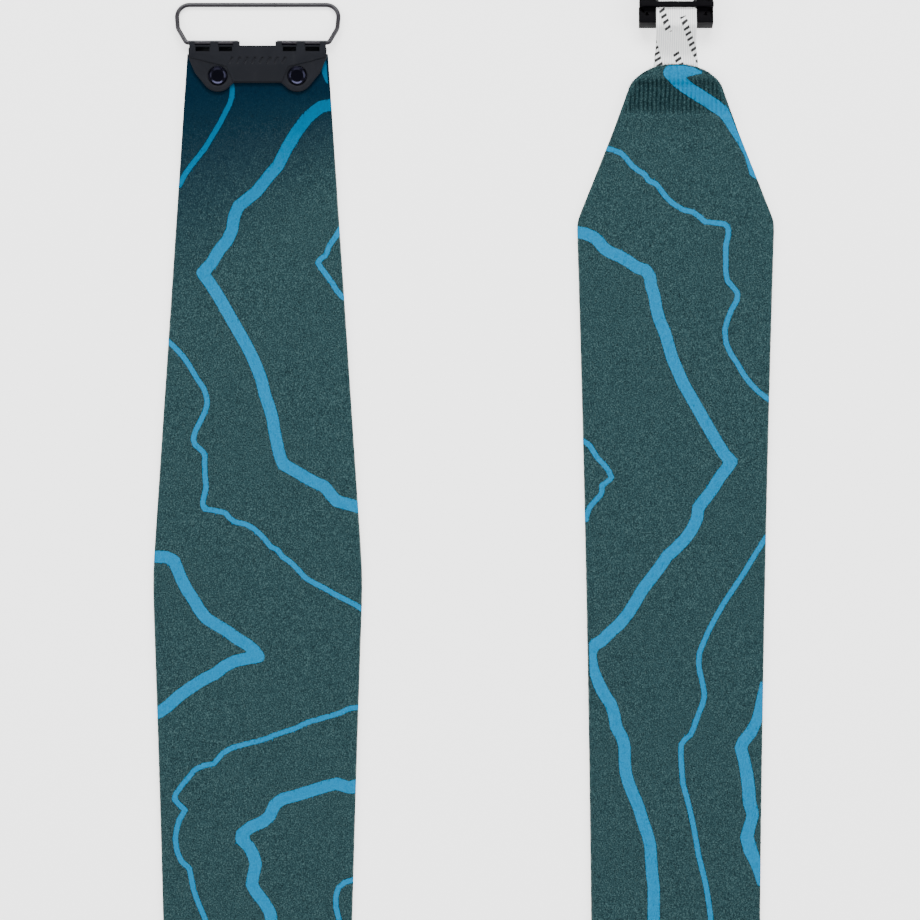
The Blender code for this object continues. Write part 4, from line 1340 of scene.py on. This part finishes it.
@dataclass
class TipClamp:
    """The clamp plates, their studs and washers, and the wire bail."""

    place: Place
    finishes: Finishes
    stud_head: float = 5.2 * MM
    head_height: float = 1.45 * MM
    shank: float = 2.8 * MM
    dish: tuple = ((0.4, 0.0), (0.55, -0.16), (0.6, -0.27), (0.35, -0.07), (1.2, 0.0))
    wire: float = 1.3 * MM
    bail_depth: float = 22 * MM
    bail_foot: float = 11 * MM
    bail_bends: tuple = ((40.6 * MM, 0.0), (45.4 * MM, 8.4 * MM))
    bail_half: float = 46.6 * MM
    bail_radii: tuple = (2.2 * MM, 5 * MM, 7 * MM)
    window_end: float = 5.6 * MM
    grooves: int = 8
    groove_span: float = 30 * MM
    groove_line: float = 10.2 * MM
    groove_size: tuple[float, float, float] = (1.5 * MM, 4.4 * MM, 0.9 * MM)
    groove_lean: float = math.radians(-28)
    panel_step: float = 0.25 * MM

    def build_plates(self) -> None:
        """The plate over the pile, with its grip grooves, and the plate under the skin."""
        line = self.place.hinge.y - self.place.facing * self.window_end
        plate = self.place.copy(
            "tip_plate",
            "clamp_plate",
            0.2 * MM,
            square=lambda point: self.place.facing * (point.y - line) > 0,
        )
        self.cut_grooves(plate)
        shade(plate)
        self.place.dress(plate, self.finishes.plastic, "moulded_black", "skin", "tip_plate")
        base = self.place.copy("base_plate", "under_plate", 0.2 * MM)
        self.place.dress(base, self.finishes.plastic, "moulded_black", "skin", "base_plate")

    def cut_grooves(self, plate: bpy.types.Object) -> None:
        """Sink a row of slanting grip grooves into the middle of the plate."""
        panel_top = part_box(self.place.node("tip_plate"))[1].z - self.panel_step
        for index in range(self.grooves):
            x = self.groove_span * (index / (self.grooves - 1) - 0.5)
            deselect_all()
            bpy.ops.mesh.primitive_cube_add(size=1.0)
            cutter = bpy.context.object
            turn = Matrix.Rotation(self.groove_lean, 4, "Z")
            shift = Matrix.Translation((x, -self.groove_line, panel_top + 0.1 * MM))
            size = Matrix.Diagonal((*self.groove_size, 1.0))
            cutter.matrix_world = self.place.matrix() @ shift @ turn @ size
            settle(cutter)
            apply_modifier(cutter, "BEVEL", width=0.34 * MM, segments=3)
            cut_away(plate, cutter)

    def build_stud(self, letter: str) -> None:
        """A turned stud with a dished head, and its washer below."""
        low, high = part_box(self.place.node(f"stud_{letter}"))
        centre = (low + high) / 2
        seat = high.z - self.head_height
        middle = (centre.x, centre.y, (high.z + seat) / 2)
        deselect_all()
        bpy.ops.mesh.primitive_cylinder_add(
            vertices=64, radius=self.stud_head, depth=high.z - seat, location=middle
        )
        head = bpy.context.object
        settle(head)
        self.sink_face(head, high.z, self.dish)
        self.draw_shank(head, seat, low.z)
        apply_modifier(head, "BEVEL", width=0.16 * MM, segments=3, limit_method="ANGLE",
                       angle_limit=math.radians(30), use_clamp_overlap=True)
        shade(head, 50)
        head.name = self.place.node(f"dished_stud_{letter}")
        self.place.dress(head, self.finishes.stud, "stud_black", "skin", f"stud_{letter}")
        washer = self.place.copy(f"stud_washer_{letter}", f"washer_{letter}", 0.08 * MM, 2)
        self.place.dress(washer, self.finishes.steel, "steel", "skin", f"stud_washer_{letter}")

    def sink_face(self, piece: bpy.types.Object, height: float, steps: tuple) -> None:
        """Inset the face at a height step by step, moving it up or down each time.

        Args:
            piece: The piece to shape.
            height: Height of the face.
            steps: Pairs of an inset and a move along Z, in millimetres.
        """
        edit_faces(piece, height, 1.0)
        for inset, move in steps:
            bpy.ops.mesh.inset(thickness=inset * MM)
            bpy.ops.transform.translate(value=(0, 0, move * MM))
        bpy.ops.object.mode_set(mode="OBJECT")

    def draw_shank(self, piece: bpy.types.Object, seat: float, end: float) -> None:
        """Inset the head's underside and extrude the shank down from it."""
        edit_faces(piece, seat, -1.0)
        bpy.ops.mesh.inset(thickness=self.stud_head - self.shank)
        bpy.ops.mesh.extrude_region_move(TRANSFORM_OT_translate={"value": (0, 0, end - seat)})
        bpy.ops.object.mode_set(mode="OBJECT")

    def build_bail(self) -> None:
        """The bail, one coated wire from foot to foot, turned down until its far side meets the floor."""
        z = self.place.hinge.z
        tilt = math.asin((z - self.wire) / self.bail_depth)
        foot, far = (self.bail_foot, 0.0), (self.bail_half, self.bail_depth)
        corners = [foot, *self.bail_bends, far, (0.0, self.bail_depth)]
        half = fillet([Vector(c) for c in corners], self.bail_radii, 10)
        plan = half + [Vector((-p.x, p.y)) for p in reversed(half[:-1])]
        flat = np.array([(p.x, p.y * math.cos(tilt), z - p.y * math.sin(tilt)) for p in plan])
        curve = bpy.data.curves.new(self.place.node("wire_bail"), "CURVE")
        curve.dimensions = "3D"
        curve.bevel_depth = self.wire
        curve.bevel_resolution = 7
        curve.use_fill_caps = True
        spline = curve.splines.new("POLY")
        spline.points.add(len(flat) - 1)
        for slot, point in zip(spline.points, self.place.to_row(flat)):
            slot.co = (*point, 1.0)
        take(add_object(curve.name, curve))
        bpy.ops.object.convert(target="MESH")
        bail = bpy.context.object
        with editing(bail):
            bpy.ops.mesh.remove_doubles(threshold=WELD)
            bpy.ops.mesh.normals_make_consistent(inside=False)
        apply_modifier(bail, "BEVEL", width=0.3 * MM, segments=3, limit_method="ANGLE",
                       angle_limit=math.radians(60))
        shade(bail, 50)
        self.place.dress(bail, self.finishes.wire, "wire_black", "bail", "tip_bail")

    def build(self) -> None:
        """Every piece of the clamp."""
        self.build_plates()
        for letter in "ab":
            self.build_stud(letter)
        self.build_bail()


def fillet(points: list[Vector], radii: tuple, steps: int) -> list[Vector]:
    """A line in a plane with its inner corners rounded.

    Args:
        points: Its corners.
        radii: The radius at each inner corner.
        steps: Steps in each rounding.

    Returns:
        The rounded line.
    """
    path = [points[0]]
    for before, corner, after, radius in zip(points, points[1:], points[2:], radii):
        back, on = (before - corner).normalized(), (after - corner).normalized()
        half_angle = back.angle(on) / 2
        reach = radius / math.tan(half_angle)
        centre = corner + (back + on).normalized() * radius / math.sin(half_angle)
        start, end = corner + back * reach - centre, corner + on * reach - centre
        sweep = -start.angle_signed(end)
        for i in range(steps + 1):
            c, s = math.cos(sweep * i / steps), math.sin(sweep * i / steps)
            path.append(centre + Vector((start.x * c - start.y * s, start.x * s + start.y * c)))
    path.append(points[-1])
    return path


# ---------------------------------------------------------------------------------------- the tail


@dataclass
class Tail:
    """The elastic strap, its end tab, the hook and its cam lever."""

    place: Place
    strip: Strip
    finishes: Finishes
    strap_half: float = 11.5 * MM
    strap_flare: float = 12.8 * MM
    flare_start: float = 2 * MM
    flare_length: float = 14 * MM
    strap_sewn: float = 27 * MM
    strap_reach: float = 113 * MM
    strap_rest: float = 0.4 * MM
    hook_start: float = 23.2 * MM
    hook_length: float = 50 * MM
    hook_plate: float = 2 * MM
    hook_tilt: float = math.atan(9 / 38)
    ribs: int = 20
    rib_height: float = 0.16 * MM

    def hook_point(self, u: float, w: float) -> tuple[float, float]:
        """Distance past the tail end, and height, of a point in the hook's own frame."""
        c, s = math.cos(self.hook_tilt), math.sin(self.hook_tilt)
        top = self.hook_length * s + self.hook_plate * c
        return self.hook_start + u * c + w * s, top - u * s + w * c

    def strap_line(self) -> np.ndarray:
        """The strap's centre line: under the pile, up over the hook's plate and down to the floor."""
        middle = self.strip.strap_thick / 2
        rest = self.strap_rest + middle
        sewn = self.strip.glue + self.strip.gap + middle
        under_pile = (self.strap_sewn, 18 * MM, 9 * MM, 0.0)
        line = [(-d, float(self.strip.lift(self.strip.length - d)) + sewn) for d in under_pile]
        line += [(5.5 * MM, 5.2 * MM), (12 * MM, 8.7 * MM), (18 * MM, 12.5 * MM)]
        on_hook = (-1.6, 1.6, 5, 12, 20, 30, 40, 48)
        line += [self.hook_point(u * MM, self.strip.gap + middle) for u in on_hook]
        line += [(78.5 * MM, 2.1 * MM), (85.5 * MM, rest), (94 * MM, rest), (self.strap_reach, rest)]
        return curved(np.array(line), 9)

    def width_at(self, o: np.ndarray) -> np.ndarray:
        """Half the strap's width at distances past the tail end."""
        flare = 1 - smooth((o + self.flare_start) / self.flare_length)
        return self.strap_half + (self.strap_flare - self.strap_half) * flare

    def build_strap(self) -> None:
        """The ribbed woven strap with round edges, from under the skin up over the hook."""
        line = self.strap_line()
        run = np.gradient(line, axis=0)
        run /= np.linalg.norm(run, axis=1)[:, None]
        along = np.concatenate([[0.0], np.cumsum(np.linalg.norm(np.diff(line, axis=0), axis=1))])
        columns = self.ribs * 4 + 1
        share = np.linspace(-1, 1, columns)
        half = self.width_at(line[:, 0])
        thick = self.strip.strap_thick / 2
        crest = thick - self.rib_height * (0.5 + 0.5 * np.cos(math.pi * self.ribs * (share + 1)))
        edge = np.sqrt(np.clip(1 - np.clip((np.abs(share) - 0.94) / 0.06, 0, 1) ** 2, 0.04, 1))
        profile = crest * edge
        shares = np.concatenate([share, share[::-1]])
        heights = np.concatenate([profile, -profile[::-1]])
        o = line[:, None, 0] - run[:, None, 1] * heights[None, :]
        z = line[:, None, 1] + run[:, None, 0] * heights[None, :]
        x = half[:, None] * shares[None, :]
        rings = np.stack([x, -self.strip.length - o, z], axis=-1)
        piece = self.place.band("woven_strap", rings)
        turn_outwards(piece)
        shade(piece, 70)
        across = (self.strap_half * shares)[None, :].repeat(len(line), axis=0).ravel()
        self.unwrap(piece, across, along[:, None].repeat(len(shares), axis=1).ravel())
        store(piece, "upper_face", np.tile(np.repeat([1.0, 0.0], columns), len(line)))
        self.place.dress(piece, self.finishes.webbing, "webbing", None, "strap")
        self.place.node("cam_hook")
        start = self.place.to_row(np.array([0.0, -self.strip.length + 1 * MM, 5 * MM]))
        end = self.place.to_row(np.array([0.0, -self.strip.length - 27 * MM, 5 * MM]))
        skin, hook = self.place.node("skin"), self.place.node("hook")
        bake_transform(piece)

    def unwrap(self, piece: bpy.types.Object, across: np.ndarray, along: np.ndarray) -> None:
        """A UV map in metres, across and along the strap."""
        layer = piece.data.uv_layers.new(name="webbing")
        corners = np.zeros(len(piece.data.loops), np.int64)
        piece.data.loops.foreach_get("vertex_index", corners)
        layer.data.foreach_set("uv", np.stack([across[corners], along[corners]], axis=-1).ravel())

    def build_hardware(self) -> None:
        """The hook, its pin, its cam lever and the strap's end tab."""
        hook = self.place.copy("tail_hook", "cam_hook", 0.25 * MM)
        self.place.dress(hook, self.finishes.hook, "moulded_black", "hook", "tail_hook")
        pin = self.place.copy("cam_pin", "lever_pin", 0.12 * MM, 2)
        self.place.dress(pin, self.finishes.steel, "steel", "hook", "cam_pin")
        lever = self.place.copy("cam_lever", "strap_lever", 0.25 * MM)
        self.place.dress(lever, self.finishes.plastic, "moulded_black", "cam_lever", "cam_lever")
        tab = self.place.copy("strap_tab", "pull_tab", 0.4 * MM)
        self.place.dress(tab, self.finishes.plastic, "moulded_black", "hook", "strap_tab")

    def build(self) -> None:
        """Every piece of the tail."""
        self.build_hardware()
        self.build_strap()


def curved(points: np.ndarray, steps: int) -> np.ndarray:
    """A smooth line through points, with even steps in each span."""
    padded = np.concatenate([points[:1], points, points[-1:]])
    line = []
    for before, start, end, after in zip(padded, padded[1:], padded[2:], padded[3:]):
        for i in range(steps):
            f = i / steps
            outer = (-f + 2 * f**2 - f**3, f**3 - f**2)
            inner = (2 - 5 * f**2 + 3 * f**3, f + 4 * f**2 - 3 * f**3)
            weights = (outer[0], *inner, outer[1])
            line.append(sum(w * p for w, p in zip(weights, (before, start, end, after))) / 2)
    return np.array([*line, points[-1]])


# -------------------------------------------------------------------------------------- the studio


@dataclass
class Studio:
    """A pale floor, soft lights and a camera straight above the left tip and the right tail."""

    middle: tuple[float, float] = (-3.8 * MM, 598.7 * MM)
    field_width: float = 524.4 * MM
    lens: float = 200.0
    sensor: float = 36.0
    floor_size: float = 12.0
    glow: float = 1.4
    surround: float = 0.35

    def build_floor(self) -> None:
        """The floor, which is no part of the skins."""
        deselect_all()
        bpy.ops.mesh.primitive_plane_add(size=self.floor_size, location=(0, 0, 0))
        floor = bpy.context.object
        floor.name = "studio_floor"
        settle(floor)
        recipe = Recipe("studio_paper", 0.9)
        grey, pale = (0.90, 0.90, 0.90, 1), (0.92, 0.92, 0.92, 1)
        recipe.set("Base Color", recipe.mix(recipe.noise(3.0), grey, pale))
        recipe.set("Emission Color", (1.0, 1.0, 1.0, 1.0))
        recipe.set("Emission Strength", self.glow)
        floor.data.materials.append(recipe.material)

    def build_lights(self) -> None:
        """A key beyond the tips, three fills and an even surround."""
        world = bpy.data.worlds.new("studio_air")
        bpy.context.scene.world = world
        world.use_nodes = True
        surround = world.node_tree.nodes["Background"]
        surround.inputs["Color"].default_value = (1.0, 1.0, 1.0, 1.0)
        surround.inputs["Strength"].default_value = self.surround
        x, y = self.middle
        self.add_light("key", (x, y + 2.6, 2.6), (x, y, 0.0), 3.4, 212.0, 1.1)
        self.add_light("left_fill", (x - 2.6, y, 2.4), (x, y, 0.0), 2.0, 73.0)
        self.add_light("right_fill", (x + 2.6, y, 2.4), (x, y, 0.0), 2.0, 73.0)
        self.add_light("tail_fill", (x, y - 1.7, 3.0), (x, y, 0.0), 2.0, 28.0)

    def add_light(
        self, name: str, at: tuple, towards: tuple, size: float, power: float, height: float | None = None
    ) -> None:
        """A soft rectangular light.

        Args:
            name: Its name.
            at: Where it hangs.
            towards: The point that it faces.
            size: Its width.
            power: Its power in watts.
            height: Its height, where that differs from its width.
        """
        data = bpy.data.lights.new(name, "AREA")
        data.shape = "RECTANGLE"
        data.size = size
        data.size_y = height or size
        data.energy = power
        light = add_object(name, data)
        light.location = at
        light.rotation_euler = (Vector(towards) - Vector(at)).to_track_quat("-Z", "Y").to_euler()

    def build_camera(self) -> None:
        """The camera, straight above, with +Y up in its picture."""
        data = bpy.data.cameras.new("overhead_camera")
        data.lens = self.lens
        data.sensor_width = self.sensor
        data.clip_end = 50.0
        camera = add_object("overhead_camera", data)
        camera.location = (*self.middle, self.field_width * self.lens / self.sensor)
        bpy.context.scene.camera = camera

    def build(self) -> None:
        """The floor, the lights and the camera."""
        self.build_camera()
        self.build_floor()
        self.build_lights()


def main() -> None:
    """Build the studio and both skins, and report each piece."""
    logging.basicConfig(level=logging.INFO, format="%(name)s %(message)s")
    Studio().build()
    finishes = Finishes()
    for side in Side:
        place = Place.read(side)
        strip = Strip(length=1660 * MM)
        TipClamp(place, finishes).build()
        Tail(place, strip, finishes).build()
        Laminate(place, strip, finishes).build()


if __name__ == "__main__":
    main()
